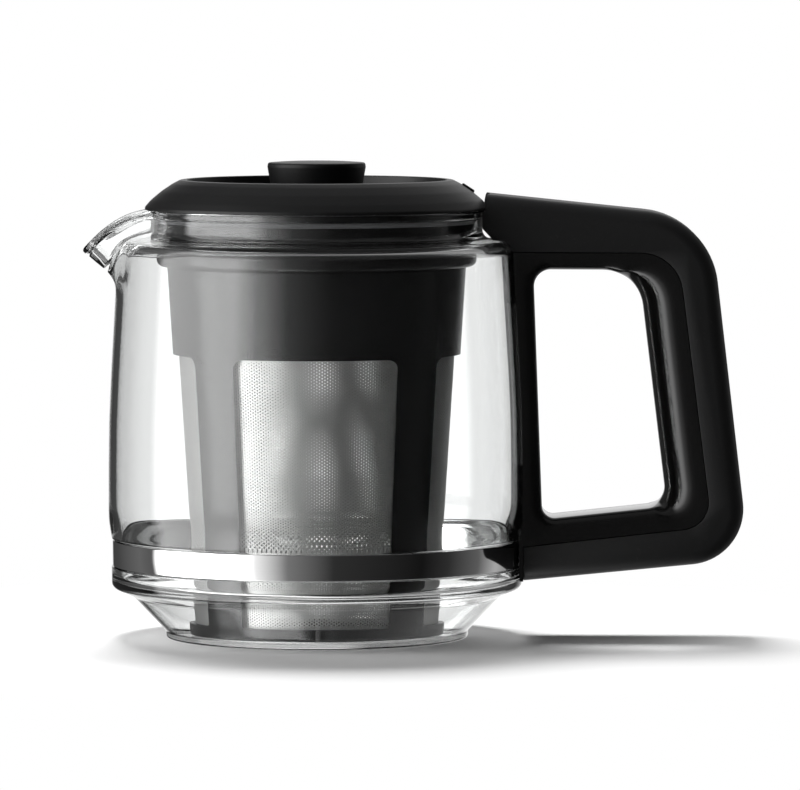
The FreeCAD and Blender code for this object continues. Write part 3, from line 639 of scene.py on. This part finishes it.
def shape_lip(piece, chain, half_angle):
    """Draws the rim, neck and shoulder out into the pouring lip."""
    targets = {}
    for i, target in lip_targets(chain).items():
        targets[(round(chain[i].x, 6), round(chain[i].y, 6))] = target
    for vertex in piece.data.vertices:
        radius = math.hypot(vertex.co.x, vertex.co.y)
        target = targets.get((round(radius, 6), round(vertex.co.z, 6)))
        angle = abs(math.atan2(vertex.co.y, -vertex.co.x))
        if target is None or angle >= half_angle:
            continue
        share = (0.5 + 0.5 * math.cos(math.pi * angle / half_angle)) ** 0.85
        height = vertex.co.z + (target.y - vertex.co.z) * share ** 2.2
        grown = (radius + (target.x - radius) * share) / radius
        vertex.co = (vertex.co.x * grown, vertex.co.y * grown, height)


class POT_OT_glass(bpy.types.Operator):
    """Blown glass pot with its rolled rim, shoulder, foot and pouring lip"""

    bl_idname = "pot.glass"
    bl_label = "Glass pot"

    def execute(self, context):
        sizes = context.scene.pot_glass
        chain = vessel_chain(sizes)
        piece = turned("glass_pot", chain, closed=False, steps=180)
        shape_lip(piece, chain, sizes.lip_half_angle)
        modify(piece, "Blown", "SUBSURF", levels=1, render_levels=1)
        smooth(piece, 60)
        dress(piece, "Clear glass", "clear_glass", "carafe", "glass_vessel")
        return {"FINISHED"}


class POT_OT_band(bpy.types.Operator):
    """Polished steel band round the foot of the glass"""

    bl_idname = "pot.band"
    bl_label = "Steel band"

    def execute(self, context):
        outer = BAND_HIGH.y
        inner = outer - 0.7 * MM
        low = BAND_LOW.z
        high = BAND_HIGH.z
        edge = 0.3 * MM
        points = rounded([(inner, low, edge), (outer, low, edge), (outer, high, edge), (inner, high, edge)],
                         turn=30)
        piece = turned("foot_band", points, steps=256)
        smooth(piece, 40)
        dress(piece, "Polished steel", "polished_steel", "carafe", "steel_band")
        return {"FINISHED"}


def vessel_space():
    """Solid block of the glass's outside, a little larger, to cut the handle against."""
    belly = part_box("glass_vessel")[1].x / MM
    clear = FIT / MM
    high = RIM_Z / MM
    corners = [
        (0, 0, 0),
        (FOOT_R + clear, 0, 0),
        (FOOT_R + clear, 36.0, 2.0),
        (belly + clear, 42.2, 30.0),
        (belly + clear, WAIST_Z, BARREL_ROUND),
        (SHOULDER_R + clear, SHOULDER_Z + clear, 4.6),
        (60.0 + clear, 143.2 + clear, 0),
        (60.0 + clear, high, 0),
        (0, high, 0),
    ]
    return turned("vessel_space", rounded(millimetres(corners), closed=False), closed=False, steps=256)


def lid_space():
    """Space that the lid and the neck need at the handle's hook."""
    reach = LID_HIGH.y / MM + 0.5
    corners = [
        (0, 142.7, 0),
        (reach + 2.6, 142.7, 0),
        (reach + 2.4, 143.6, 1.2),
        (reach - 0.9, 147.2, 1.0),
        (reach - 1.0, 153.1, 0.4),
        (reach, 153.4, 0.2),
        (reach, 170.0, 0),
        (0, 170.0, 0),
    ]
    return turned("lid_space", rounded(millimetres(corners), closed=False), closed=False, steps=256)


def seam_outline(shrink=0.0):
    """Outline inside the seam between shell and liner."""
    return [
        (HOOK_X, 138.9 - shrink, 0),
        (129.3 - shrink, 138.7 - shrink, 15.3),
        (141.6 - shrink, 40.5 + shrink, 10.0),
        (HEEL_X, SEAM_FOOT_Z + shrink, 0),
        (HOOK_X, SEAM_FOOT_Z + shrink, 0),
    ]


def side_edges(piece, half, test):
    """Selects the edges of both side faces whose middle passes the test, in edit mode."""
    bpy.ops.object.mode_set(mode="EDIT")
    bpy.ops.mesh.select_all(action="DESELECT")
    bpy.ops.mesh.select_mode(type="EDGE")
    mesh = bmesh.from_edit_mesh(piece.data)
    for edge in mesh.edges:
        flat = all(abs(abs(v.co.y) - half) < 1e-5 for v in edge.verts)
        same = edge.verts[0].co.y * edge.verts[1].co.y > 0
        middle = (edge.verts[0].co + edge.verts[1].co) / 2
        edge.select = flat and same and test(middle)
    bmesh.update_edit_mesh(piece.data)


def inside(outline, x, z):
    """Whether a point lies inside a closed outline."""
    hit = False
    count = len(outline)
    for i in range(count):
        a = outline[i]
        b = outline[(i + 1) % count]
        if (a.y > z) != (b.y > z) and x < (b.x - a.x) * (z - a.y) / (b.y - a.y) + a.x:
            hit = not hit
    return hit


class POT_OT_shell(bpy.types.Operator):
    """Matte outer half of the handle"""

    bl_idname = "pot.shell"
    bl_label = "Handle shell"

    def execute(self, context):
        sizes = context.scene.pot_handle
        half = SHELL_HALF
        outer = rounded(millimetres([
            (HOOK_X, 160.0, 0),
            (140.9, 151.1, 29.0),
            (155.2, 28.6, 20.0),
            (HEEL_X, 20.9, 0),
            (HEEL_X, SEAM_FOOT_Z, 0),
            (HOOK_X, SEAM_FOOT_Z, 0),
        ]), turn=5)
        piece = board("handle_outer", outer, half)
        seam = rounded(millimetres(seam_outline()), turn=5)
        wider = rounded(millimetres(seam_outline(-0.5)), turn=5)
        side_edges(piece, half, lambda p: not inside(wider, p.x, p.z) and p.x > 0.0745)
        bpy.ops.mesh.bevel(offset=sizes.outer_round, segments=8, profile=0.5, affect="EDGES",
                           clamp_overlap=True)
        bpy.ops.object.mode_set(mode="OBJECT")
        cut(piece, board("seam_space", seam, half * 2))
        soften(piece, 0.35 * MM, 2, 60)
        cut(piece, lid_space())
        cut(piece, vessel_space())
        smooth(piece, 30)
        dress(piece, "Matte handle plastic", "matte_black", "carafe", "handle_shell")
        return {"FINISHED"}


def outward(points):
    """Unit normals that point out of a closed outline, one for each point."""
    area = 0.0
    count = len(points)
    for i in range(count):
        area += points[i - 1].x * points[i].y - points[i].x * points[i - 1].y
    side = 1 if area > 0 else -1
    normals = []
    for i in range(count):
        along = (points[(i + 1) % count] - points[i - 1]).normalized()
        normals.append(Vector((along.y, -along.x)) * side)
    return normals


def reach_out(point, direction, outline):
    """Where a ray from a point inside an outline meets the outline."""
    best = None
    count = len(outline)
    for i in range(count):
        a = outline[i]
        edge = outline[(i + 1) % count] - a
        across = direction.x * edge.y - direction.y * edge.x
        if abs(across) < 1e-12:
            continue
        arm = a - point
        run = (arm.x * edge.y - arm.y * edge.x) / across
        share = (arm.x * direction.y - arm.y * direction.x) / across
        if run > 0 and -1e-6 <= share <= 1 + 1e-6 and (best is None or run < best):
            best = run
    return point + direction * best


def ease(value):
    """Smooth step from 0 to 1."""
    value = min(1.0, max(0.0, value))
    return value * value * (3 - 2 * value)


class POT_OT_liner(bpy.types.Operator):
    """Glossy inner half of the handle with the strip along the glass"""

    bl_idname = "pot.liner"
    bl_label = "Handle liner"

    def execute(self, context):
        sizes = context.scene.pot_handle
        half = LINER_HALF
        loop = rounded(millimetres([
            (77.6, 132.6, 6.0),
            (115.5, 132.4, 15.0),
            (125.7, 47.8, 7.0),
            (80.9, 43.1, 4.5),
        ]), turn=6)
        loop = spread(loop + [loop[0]], 4 * MM)[:-1]
        seam = rounded(millimetres(seam_outline()), turn=5)
        piece = self.sweep(loop, seam, half, sizes)
        corners = ((60, 20.9), (74.0, 20.9), (74.0, 34.5), (60, 34.5))
        saddle = board("saddle", [Vector(corner) * MM for corner in corners], half)
        combine(piece, saddle, "UNION")
        cut(piece, vessel_space())
        cut(piece, lid_space())
        smooth(piece, 30)
        dress(piece, "Glossy handle plastic", "gloss_black", "carafe", "handle_liner")
        return {"FINISHED"}

    def round_size(self, normal, sizes, half):
        """Width and depth of the rim's rounding for one direction out of the opening."""
        grip = ease((normal.x - 0.35) / 0.6)
        wide = sizes.grip_round * (sizes.rim_share + (1 - sizes.rim_share) * grip)
        deep = wide + (min(half - 0.4 * MM, 1.2 * sizes.grip_round) - wide) * grip
        return wide, deep

    def sweep(self, loop, seam, half, sizes):
        """Front half of the liner drawn outwards from the opening, then mirrored."""
        normals = outward(loop)
        edges = [reach_out(p, n, seam) for p, n in zip(loop, normals)]
        steps = 8
        rings = []
        for k in range(steps + 1):
            turn = math.pi / 2 * k / steps
            ring = []
            for point, normal, edge in zip(loop, normals, edges):
                wide, deep = self.round_size(normal, sizes, half)
                wide = min(wide, (edge - point).length - 0.8 * MM)
                place = point + normal * wide * (1 - math.cos(turn))
                ring.append(Vector((place.x, -(half - deep) - deep * math.sin(turn), place.y)))
            rings.append(ring)
        rings.append([Vector((e.x - n.x * FIT, -half, e.y - n.y * FIT))
                      for e, n in zip(edges, normals)])
        rings.append([Vector((e.x, -half + 0.25 * MM, e.y)) for e in edges])
        rings.append([Vector((e.x, 0, e.y)) for e in edges])
        piece = trace("handle_inner", loop, True)
        previous = [Vector((point.x, 0, point.y)) for point in loop]
        for ring in rings:
            bpy.ops.mesh.extrude_region_move()
            mesh = bmesh.from_edit_mesh(piece.data)
            mesh.verts.ensure_lookup_table()
            fresh = [v for v in mesh.verts if v.select]
            if len(fresh) != len(loop):
                raise RuntimeError("a ring of the liner has lost points")
            nearest = {min(range(len(loop)), key=lambda i: (previous[i] - v.co).length): v for v in fresh}
            if len(nearest) != len(loop):
                raise RuntimeError("two points of the liner's ring fall together")
            for i, vertex in nearest.items():
                vertex.co = ring[i]
            bmesh.update_edit_mesh(piece.data)
            previous = [nearest[i].co.copy() for i in range(len(loop))]
        close_up()
        modify(piece, "Other half", "MIRROR", use_axis=(False, True, False), use_clip=True,
               merge_threshold=0.00005)
        bpy.ops.object.mode_set(mode="EDIT")
        close_up()
        return piece


class POT_OT_lid(bpy.types.Operator):
    """Domed lid, its recess, the mark towards the handle, the knob and the gasket"""

    bl_idname = "pot.lid"
    bl_label = "Lid and knob"

    def execute(self, context):
        sizes = context.scene.pot_lid
        self.cap(sizes)
        self.mark()
        self.knob()
        self.skirt()
        self.gasket()
        return {"FINISHED"}

    def cap(self, sizes):
        """Domed cover with the recess."""
        edge = LID_HIGH.y / MM
        top = LID_HIGH.z / MM
        seat = LID_LOW.z / MM
        rim = 48.0
        inner = rim - sizes.rim_width / MM
        floor = top - sizes.recess_depth / MM
        corners = [
            (0, floor, 0),
            (inner - 1.2, floor, 1.6),
            (inner, top - 0.1, 0.35),
            (rim - 0.3, top, 0.6),
            (rim + 1.0, top - 0.15, 1.6),
            (51.5, top - 1.4, 8.0),
            (55.5, 160.35, 12.0),
            (59.4, 157.1, 8.0),
            (edge, 154.6, 1.2),
            (edge, seat, 0.35),
            (57.2, seat, 0),
            (57.2, PLATE_HIGH / MM, 0),
            (0, PLATE_HIGH / MM, 0),
        ]
        piece = turned("lid_cover", rounded(millimetres(corners), closed=False, turn=7), closed=False,
                       steps=192)
        smooth(piece, 35)
        dress(piece, "Matte lid plastic", "matte_black", "lid", "lid_cap")

    def mark(self):
        """Small raised bar on the dome that points at the handle."""
        clear_selection()
        bpy.ops.mesh.primitive_cube_add(
            size=1, location=(54.3 * MM, 0, 161.25 * MM), rotation=(0, math.radians(33), 0),
            scale=(5.2 * MM, 2.4 * MM, 1.3 * MM))
        piece = bpy.context.object
        piece.name = "lid_mark"
        bpy.ops.object.transform_apply(location=True, rotation=True, scale=True)
        soften(piece, 0.5 * MM, 3)
        smooth(piece)
        dress(piece, "Matte lid plastic", "matte_black", "lid")

    def knob(self):
        """Round knob that narrows towards the recess."""
        top = KNOB_HIGH.z / MM
        wide = KNOB_HIGH.x / MM
        foot = KNOB_LOW.z / MM
        corners = [
            (0, foot, 0),
            (15.7, foot, 0.3),
            (wide, top - 1.9, 1.6),
            (wide - 0.25, top - 0.45, 0.8),
            (wide * 0.6, top, 60.0),
            (0, top, 0),
        ]
        piece = turned("lid_grip", rounded(millimetres(corners), closed=False, turn=12), closed=False,
                       steps=128)
        smooth(piece, 35)
        dress(piece, "Knob plastic", "knob_black", "lid", "lid_knob")

    def skirt(self):
        """Plate and skirt under the lid with the bayonet slots."""
        insert_low, insert_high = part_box("lid_insert")
        out = insert_high.y / MM
        low = insert_low.z / MM
        high = insert_high.z / MM
        corners = [
            (0, high - 1.6, 0),
            (53.6, high - 1.6, 0),
            (53.6, low, 0.3),
            (out, low, 0.7),
            (out, 148.9, 0.2),
            (out - 0.8, 148.9, 0),
            (out - 0.8, 151.5, 0),
            (out, 151.5, 0.2),
            (out, high, 0),
            (0, high, 0),
        ]
        piece = turned("lid_skirt", rounded(millimetres(corners), closed=False, turn=20), closed=False,
                       steps=160)
        for middle in LUGS:
            slot_size = (5.2 * MM, 11.6 * MM, 2.5 * MM)
            cut(piece, block(55.8 * MM, 146.95 * MM, middle, slot_size))
        smooth(piece, 35)
        dress(piece, "Basket plastic", "basket_black", "lid", "lid_insert")

    def gasket(self):
        """Silicone ring between the skirt and the neck."""
        low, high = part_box("lid_gasket")
        outer = high.y
        inner = outer - 1.7 * MM
        middle = (low.z + high.z) / 2
        points = rounded([
            (inner, low.z, 0),
            (outer - 0.9 * MM, low.z, 0.2 * MM),
            (outer, middle, 0.5 * MM),
            (outer - 0.9 * MM, high.z, 0.2 * MM),
            (inner, high.z, 0),
        ], turn=20)
        piece = turned("lid_seal", points, steps=160)
        smooth(piece, 35)
        dress(piece, "Grey silicone", "grey_silicone", "lid", "lid_gasket")


def cone_radius(z):
    """Outside radius of the basket's frame at a height, in metres."""
    share = (z - CONE_FOOT_Z) / (COLLAR_LOW.z - CONE_FOOT_Z)
    return (CONE_FOOT_R + share * (CONE_TOP_R - CONE_FOOT_R)) * MM


class POT_OT_basket(bpy.types.Operator):
    """Collar, frame and foot ring of the infuser basket"""

    bl_idname = "pot.basket"
    bl_label = "Basket frame"

    def execute(self, context):
        self.collar()
        self.cone()
        self.foot()
        return {"FINISHED"}

    def collar(self):
        """Wide collar with its tongue."""
        out = COLLAR_HIGH.x / MM
        low = COLLAR_LOW.z / MM
        corners = [
            (50.9, low, 0),
            (out - 0.1, low, 2.6),
            (out, 141.3, 0.6),
            (53.3, 141.3, 0),
            (53.3, 149.6, 0.5),
            (50.9, 149.6, 0.5),
        ]
        piece = turned("basket_collar", rounded(millimetres(corners), turn=12), steps=192)
        groove_size = (0.8 * MM, 0.5 * MM, 6.4 * MM)
        for middle in LUGS:
            for side in (-5.9, 5.9):
                cut(piece, block(COLLAR_HIGH.x, 139.0 * MM, middle + side, groove_size))
        smooth(piece, 35)
        dress(piece, "Basket plastic", "basket_black", "infuser", "infuser_collar")

    def cone(self):
        """Tapered frame with its four windows."""
        foot = CONE_LOW.z
        top = CONE_HIGH.z
        corners = [
            (cone_radius(foot) - FRAME_THICK, foot, 0),
            (cone_radius(foot), foot, 0),
            (cone_radius(top), top - 0.4 * MM, 0),
            (cone_radius(top) - 0.3 * MM, top, 0),
            (cone_radius(top) - FRAME_THICK, top, 0),
        ]
        piece = turned("basket_frame", rounded(corners), steps=192)
        for i in range(4):
            cut(piece, self.window(i * 90))
        soften(piece, 0.3 * MM, 2, 50)
        smooth(piece, 30)
        dress(piece, "Basket plastic", "basket_black", "infuser", "infuser_frame")

    def window(self, degrees):
        """Tall window with rounded corners, narrower at its foot."""
        sine = math.sin(WINDOW_HALF)
        low = 7.6 * MM
        high = 102.0 * MM
        half_low = cone_radius(low) * sine
        half_high = cone_radius(high) * sine
        points = rounded([
            (-half_low, low, 1.2 * MM),
            (half_low, low, 1.2 * MM),
            (half_high, high, 3.4 * MM),
            (-half_high, high, 3.4 * MM),
        ], turn=12)
        tool = trace("window", points, True)
        bpy.ops.mesh.edge_face_add()
        bpy.ops.mesh.extrude_region_move(TRANSFORM_OT_translate={"value": (0, 60 * MM, 0)})
        close_up()
        pick(tool)
        tool.rotation_euler.z = math.radians(degrees)
        bpy.ops.object.transform_apply(location=True, rotation=True, scale=True)
        return tool

    def foot(self):
        """Ring that closes the basket's foot."""
        low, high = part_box("infuser_foot_ring")
        out = high.x
        points = rounded([
            (out - 4.4 * MM, low.z, 0.5 * MM),
            (out, low.z, 0.7 * MM),
            (out, high.z, 0.1 * MM),
            (out - 1.6 * MM, high.z, 0),
            (out - 1.6 * MM, high.z - 0.4 * MM, 0),
            (out - 4.4 * MM, high.z - 0.4 * MM, 0),
        ], turn=20)
        piece = turned("basket_foot", points, steps=160)
        smooth(piece, 35)
        dress(piece, "Basket plastic", "basket_black", "infuser", "infuser_foot_ring")


class POT_OT_mesh(bpy.types.Operator):
    """Perforated steel sheets behind the windows and in the foot of the basket"""

    bl_idname = "pot.mesh"
    bl_label = "Perforated steel"

    def execute(self, context):
        sizes = context.scene.pot_basket
        nodes = (("mesh_panel_handle", 0), ("mesh_panel_back", 90),
                 ("mesh_panel_spout", 180), ("mesh_panel_front", 270))
        width = 2 * SHEET_HALF * 49.0 * MM
        height = 97.0 * MM
        flat = self.sheet("flat_sheet", sizes, width, height)
        for node, degrees in nodes:
            piece = flat.copy()
            piece.data = flat.data.copy()
            piece.name = node + "_sheet"
            bpy.context.scene.collection.objects.link(piece)
            self.wrap(piece, degrees, width)
            self.thicken(piece, sizes.sheet)
            dress(piece, "Perforated steel", "mesh_steel", "infuser", node)
        bpy.data.objects.remove(flat)
        self.floor(sizes)
        return {"FINISHED"}

    def cell(self, name, sizes):
        """One hexagonal field of sheet with a six-sided hole, the corner cell of the pattern."""
        clear_selection()
        radius = sizes.row_pitch / math.sqrt(3)
        bpy.ops.mesh.primitive_circle_add(vertices=6, radius=radius, fill_type="NGON", location=(0, 0, 0),
                                          rotation=(0, 0, math.radians(30)))
        piece = bpy.context.object
        piece.name = name
        bpy.ops.object.transform_apply(location=True, rotation=True, scale=True)
        bpy.ops.object.mode_set(mode="EDIT")
        bpy.ops.mesh.select_all(action="SELECT")
        flat_to_flat = sizes.row_pitch / 2
        bpy.ops.mesh.inset(thickness=flat_to_flat - sizes.hole / 2 * 0.95, use_even_offset=True)
        bpy.ops.mesh.delete(type="FACE")
        bpy.ops.object.mode_set(mode="OBJECT")
        return piece

    def sheet(self, name, sizes, width, height):
        """Flat sheet of staggered holes, its columns upright."""
        piece = self.cell(name, sizes)
        column = sizes.row_pitch * math.sqrt(3) / 2
        rows = math.ceil(height / sizes.row_pitch)
        pairs = math.ceil(width / (2 * column))
        self.repeat(piece, (column, sizes.row_pitch / 2, 0), 2)
        self.repeat(piece, (0, sizes.row_pitch, 0), rows)
        self.repeat(piece, (2 * column, 0, 0), pairs)
        bpy.ops.object.mode_set(mode="EDIT")
        bpy.ops.mesh.select_all(action="SELECT")
        bpy.ops.mesh.remove_doubles(threshold=0.00002)
        bpy.ops.object.mode_set(mode="OBJECT")
        low_x = min(v.co.x for v in piece.data.vertices)
        low_y = min(v.co.y for v in piece.data.vertices)
        high_x = max(v.co.x for v in piece.data.vertices)
        for vertex in piece.data.vertices:
            vertex.co.x -= (low_x + high_x) / 2
            vertex.co.y -= low_y
        return piece

    def repeat(self, piece, step_by, count):
        """Copies the sheet's pattern in a row."""
        modify(piece, "Row", "ARRAY", use_relative_offset=False, use_constant_offset=True,
               constant_offset_displace=step_by, count=count)

    def wrap(self, piece, degrees, width):
        """Bends the flat sheet onto the cone inside the frame."""
        middle = math.radians(degrees)
        foot = 5.9 * MM
        for vertex in piece.data.vertices:
            z = foot + vertex.co.y
            angle = middle + vertex.co.x / width * 2 * SHEET_HALF
            radius = cone_radius(z) - FRAME_THICK - 0.05 * MM
            vertex.co = (radius * math.cos(angle), radius * math.sin(angle), z)

    def thicken(self, piece, thickness):
        """Gives the sheet its thickness inwards."""
        pick(piece)
        bpy.ops.object.mode_set(mode="EDIT")
        bpy.ops.mesh.select_all(action="SELECT")
        bpy.ops.mesh.normals_make_consistent(inside=False)
        mesh = bmesh.from_edit_mesh(piece.data)
        face = mesh.faces[:][0]
        middle = face.calc_center_median()
        if face.normal.x * middle.x + face.normal.y * middle.y < 0:
            bpy.ops.mesh.flip_normals()
        modify(piece, "Sheet", "SOLIDIFY", thickness=thickness, offset=-1)

    def floor(self, sizes):
        """Perforated disc in the basket's foot."""
        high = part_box("mesh_floor")[1]
        radius = high.x
        piece = self.sheet("mesh_floor_sheet", sizes, radius * 2, radius * 2)
        for vertex in piece.data.vertices:
            vertex.co.y -= radius
            vertex.co.z = high.z
        bpy.ops.object.mode_set(mode="OBJECT")
        mesh = bmesh.new()
        mesh.from_mesh(piece.data)
        away = [f for f in mesh.faces if f.calc_center_median().to_2d().length > radius - 0.3 * MM]
        bmesh.ops.delete(mesh, geom=away, context="FACES")
        for face in mesh.faces:
            if face.normal.z < 0:
                face.normal_flip()
        mesh.to_mesh(piece.data)
        mesh.free()
        modify(piece, "Sheet", "SOLIDIFY", thickness=sizes.sheet, offset=-1)
        dress(piece, "Perforated steel", "mesh_steel", "infuser", "mesh_floor")


class POT_OT_hidden(bpy.types.Operator):
    """Finish of the fasteners and pads that keep their CAD shape"""

    bl_idname = "pot.hidden"
    bl_label = "Fasteners and pads"

    def execute(self, context):
        finishes = {
            "Fastener steel": ("band_clamp_screw", "band_clamp_nut", "handle_screws", "knob_screw"),
            "Grey silicone": ("knob_washer",),
            "Clear pad silicone": ("handle_bond_pad",),
        }
        for finish, nodes in finishes.items():
            for node in nodes:
                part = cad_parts[node]
                part.data.materials.clear()
                part.data.materials.append(bpy.data.materials[finish])
        return {"FINISHED"}


def azimuth_ramp(tree, place, stops, highest):
    """Brightness by direction: stops are (degrees from the front towards the handle, level)."""
    ramp = tree.nodes.new("ShaderNodeValToRGB")
    wire(tree, place, "Value", ramp, "Fac")
    elements = ramp.color_ramp.elements
    elements[0].position = 0.0
    elements[1].position = 1.0
    for degrees, _ in stops[1:-1]:
        elements.new((degrees + 180) / 360)
    for element, (_, value) in zip(elements, stops):
        level = value / highest
        element.color = (level, level, level, 1)
    return math_node(tree, "MULTIPLY", (ramp, "Color"), highest)


def studio_world(world, softbox):
    """Soft studio all round: a large softbox on the left, dark on the right, white behind."""
    world.use_nodes = True
    tree = world.node_tree
    background = tree.nodes["Background"]
    direction = tree.nodes.new("ShaderNodeTexCoord")
    parts = tree.nodes.new("ShaderNodeSeparateXYZ")
    wire(tree, direction, "Generated", parts, "Vector")
    backwards = math_node(tree, "MULTIPLY", (parts, "Y"), -1.0)
    azimuth = math_node(tree, "ARCTAN2", (parts, "X"), (backwards, "Value"))
    turn = math_node(tree, "DIVIDE", (azimuth, "Value"), math.tau)
    place = math_node(tree, "ADD", (turn, "Value"), 0.5)
    stops = [(-180, 1.0), (-173, 1.0), (-166, 0.05), (-150, 0.06), (-118, 0.14), (-105, 0.1),
             (-98, softbox), (-48, softbox), (-34, 0.3 * softbox), (-16, 0.2), (10, 0.03),
             (62, 0.008), (80, 0.03), (104, 0.12), (122, 0.45), (150, 0.12), (172, 1.0), (180, 1.0)]
    side = azimuth_ramp(tree, place, stops, softbox)
    lift = tree.nodes.new("ShaderNodeMapRange")
    lift.interpolation_type = "SMOOTHSTEP"
    lift.inputs["From Min"].default_value = 0.55
    lift.inputs["From Max"].default_value = 0.85
    wire(tree, parts, "Z", lift, "Value")
    blend = tree.nodes.new("ShaderNodeMix")
    blend.data_type = "FLOAT"
    wire(tree, lift, "Result", blend, "Factor")
    tree.links.new(side.outputs["Value"], blend.inputs["A"])
    blend.inputs["B"].default_value = 0.22
    path = tree.nodes.new("ShaderNodeLightPath")
    shown = tree.nodes.new("ShaderNodeMix")
    shown.data_type = "FLOAT"
    wire(tree, path, "Is Camera Ray", shown, "Factor")
    tree.links.new(blend.outputs["Result"], shown.inputs["A"])
    shown.inputs["B"].default_value = 1.0
    scattered = math_node(tree, "MULTIPLY", (path, "Is Diffuse Ray"), -0.7)
    dimmed = math_node(tree, "ADD", (scattered, "Value"), 1.0)
    strength = math_node(tree, "MULTIPLY", (shown, "Result"), (dimmed, "Value"))
    wire(tree, strength, "Value", background, "Strength")
    background.inputs["Color"].default_value = (1, 1, 1, 1)


def floor_material(colour):
    """Pale floor that keeps the pot's shadow and runs out into white further off."""
    material, tree, shader = new_material("Pale floor")
    coordinates = tree.nodes.new("ShaderNodeTexCoord")
    distance = tree.nodes.new("ShaderNodeVectorMath")
    distance.operation = "LENGTH"
    wire(tree, coordinates, "Object", distance, "Vector")
    far = tree.nodes.new("ShaderNodeMapRange")
    far.interpolation_type = "SMOOTHSTEP"
    far.inputs["From Min"].default_value = 0.11
    far.inputs["From Max"].default_value = 0.24
    wire(tree, distance, "Value", far, "Value")
    path = tree.nodes.new("ShaderNodeLightPath")
    seen = math_node(tree, "ADD", (path, "Is Camera Ray"), (path, "Is Transmission Ray"))
    seen.use_clamp = True
    level = math_node(tree, "MULTIPLY", (seen, "Value"), (far, "Result"))
    mottle = noise(tree, 5.0, 2.0)
    tone = math_node(tree, "MULTIPLY", (mottle, "Fac"), 0.02)
    fade = math_node(tree, "MAXIMUM", (level, "Value"), (tone, "Value"))
    two_tone(tree, shader, colour, (0, 0, 0), fade, "Value")
    shader.inputs["Roughness"].default_value = 0.9
    shader.inputs["Specular IOR Level"].default_value = 0.0
    shader.inputs["Emission Color"].default_value = (1, 1, 1, 1)
    wire(tree, level, "Value", shader, "Emission Strength")
    mirrored = math_node(tree, "MINIMUM", (path, "Glossy Depth"), 1.0)
    see_through(tree, shader, mirrored, "Value", (1, 1, 1, 1))
    return material


def softbox_light(name, place, size, power):
    """Square softbox aimed at the pot; it isn't seen in reflections or through the glass."""
    target = Vector((0, 0, 0.05))
    turn = (target - Vector(place)).to_track_quat("-Z", "Y").to_euler()
    clear_selection()
    bpy.ops.object.light_add(type="AREA", location=place, rotation=turn)
    light = bpy.context.object
    light.name = name
    light.data.shape = "SQUARE"
    light.data.size = size
    light.data.energy = power
    light.visible_glossy = False
    light.visible_transmission = False


class POT_OT_stage(bpy.types.Operator):
    """Camera, pale floor and studio light"""

    bl_idname = "pot.stage"
    bl_label = "Stage"

    def execute(self, context):
        sizes = context.scene.pot_stage
        scene = context.scene
        scene.view_settings.view_transform = "Standard"
        clear_selection()
        bpy.ops.object.camera_add(location=(sizes.aside, -sizes.distance, sizes.height),
                                  rotation=(math.pi / 2 - sizes.pitch, 0, 0))
        camera = context.object
        camera.name = "photo_camera"
        camera.data.lens = sizes.lens
        camera.data.sensor_width = 36
        camera.data.sensor_fit = "HORIZONTAL"
        camera.data.clip_start = 0.1
        camera.data.clip_end = 60
        scene.camera = camera
        clear_selection()
        bpy.ops.mesh.primitive_plane_add(size=14, location=(0, 0, 0))
        floor = context.object
        floor.name = "floor"
        floor.data.materials.append(floor_material(sizes.floor_colour))
        floor.visible_glossy = False
        softbox_light("back_softbox", (-0.08, 0.42, 1.0), sizes.back_size, sizes.back_power)
        softbox_light("side_softbox", (-0.6, -0.3, 0.85), sizes.side_size, sizes.side_power)
        if scene.world is None:
            scene.world = bpy.data.worlds.new("Studio")
        studio_world(scene.world, sizes.softbox)
        return {"FINISHED"}


class POT_PT_panel(bpy.types.Panel):
    """Lists the pieces of the tea pot and their sizes"""

    bl_idname = "POT_PT_panel"
    bl_label = "Tea pot"
    bl_space_type = "VIEW_3D"
    bl_region_type = "UI"
    bl_category = "Tea pot"

    def draw(self, context):
        layout = self.layout
        for operator in PIECES:
            layout.operator(operator.bl_idname)
        for setting in SETTINGS:
            group = getattr(context.scene, setting)
            column = layout.column()
            for name in group.__annotations__:
                column.prop(group, name)


PIECES = (POT_OT_stage, POT_OT_glass, POT_OT_band, POT_OT_shell, POT_OT_liner, POT_OT_lid,
          POT_OT_basket, POT_OT_mesh, POT_OT_hidden)
SETTINGS = {"pot_glass": GlassSizes, "pot_handle": HandleSizes, "pot_lid": LidSizes,
            "pot_basket": BasketSizes, "pot_stage": StageSizes}


def register():
    """Registers the sizes, the operators and the panel."""
    for name, kind in SETTINGS.items():
        bpy.utils.register_class(kind)
        setattr(bpy.types.Scene, name, bpy.props.PointerProperty(type=kind))
    for kind in PIECES:
        bpy.utils.register_class(kind)
    bpy.utils.register_class(POT_PT_panel)


def unregister():
    """Removes what register added."""
    bpy.utils.unregister_class(POT_PT_panel)
    for kind in reversed(PIECES):
        bpy.utils.unregister_class(kind)
    for name, kind in SETTINGS.items():
        delattr(bpy.types.Scene, name)
        bpy.utils.unregister_class(kind)


def main():
    """Builds the whole pot."""
    register()
    make_materials()
    bpy.ops.pot.stage()
    bpy.ops.pot.glass()
    bpy.ops.pot.band()
    bpy.ops.pot.shell()
    bpy.ops.pot.liner()
    bpy.ops.pot.lid()
    bpy.ops.pot.basket()
    bpy.ops.pot.mesh()
    bpy.ops.pot.hidden()
    bpy.context.view_layer.update()


if __name__ == "__main__":
    main()
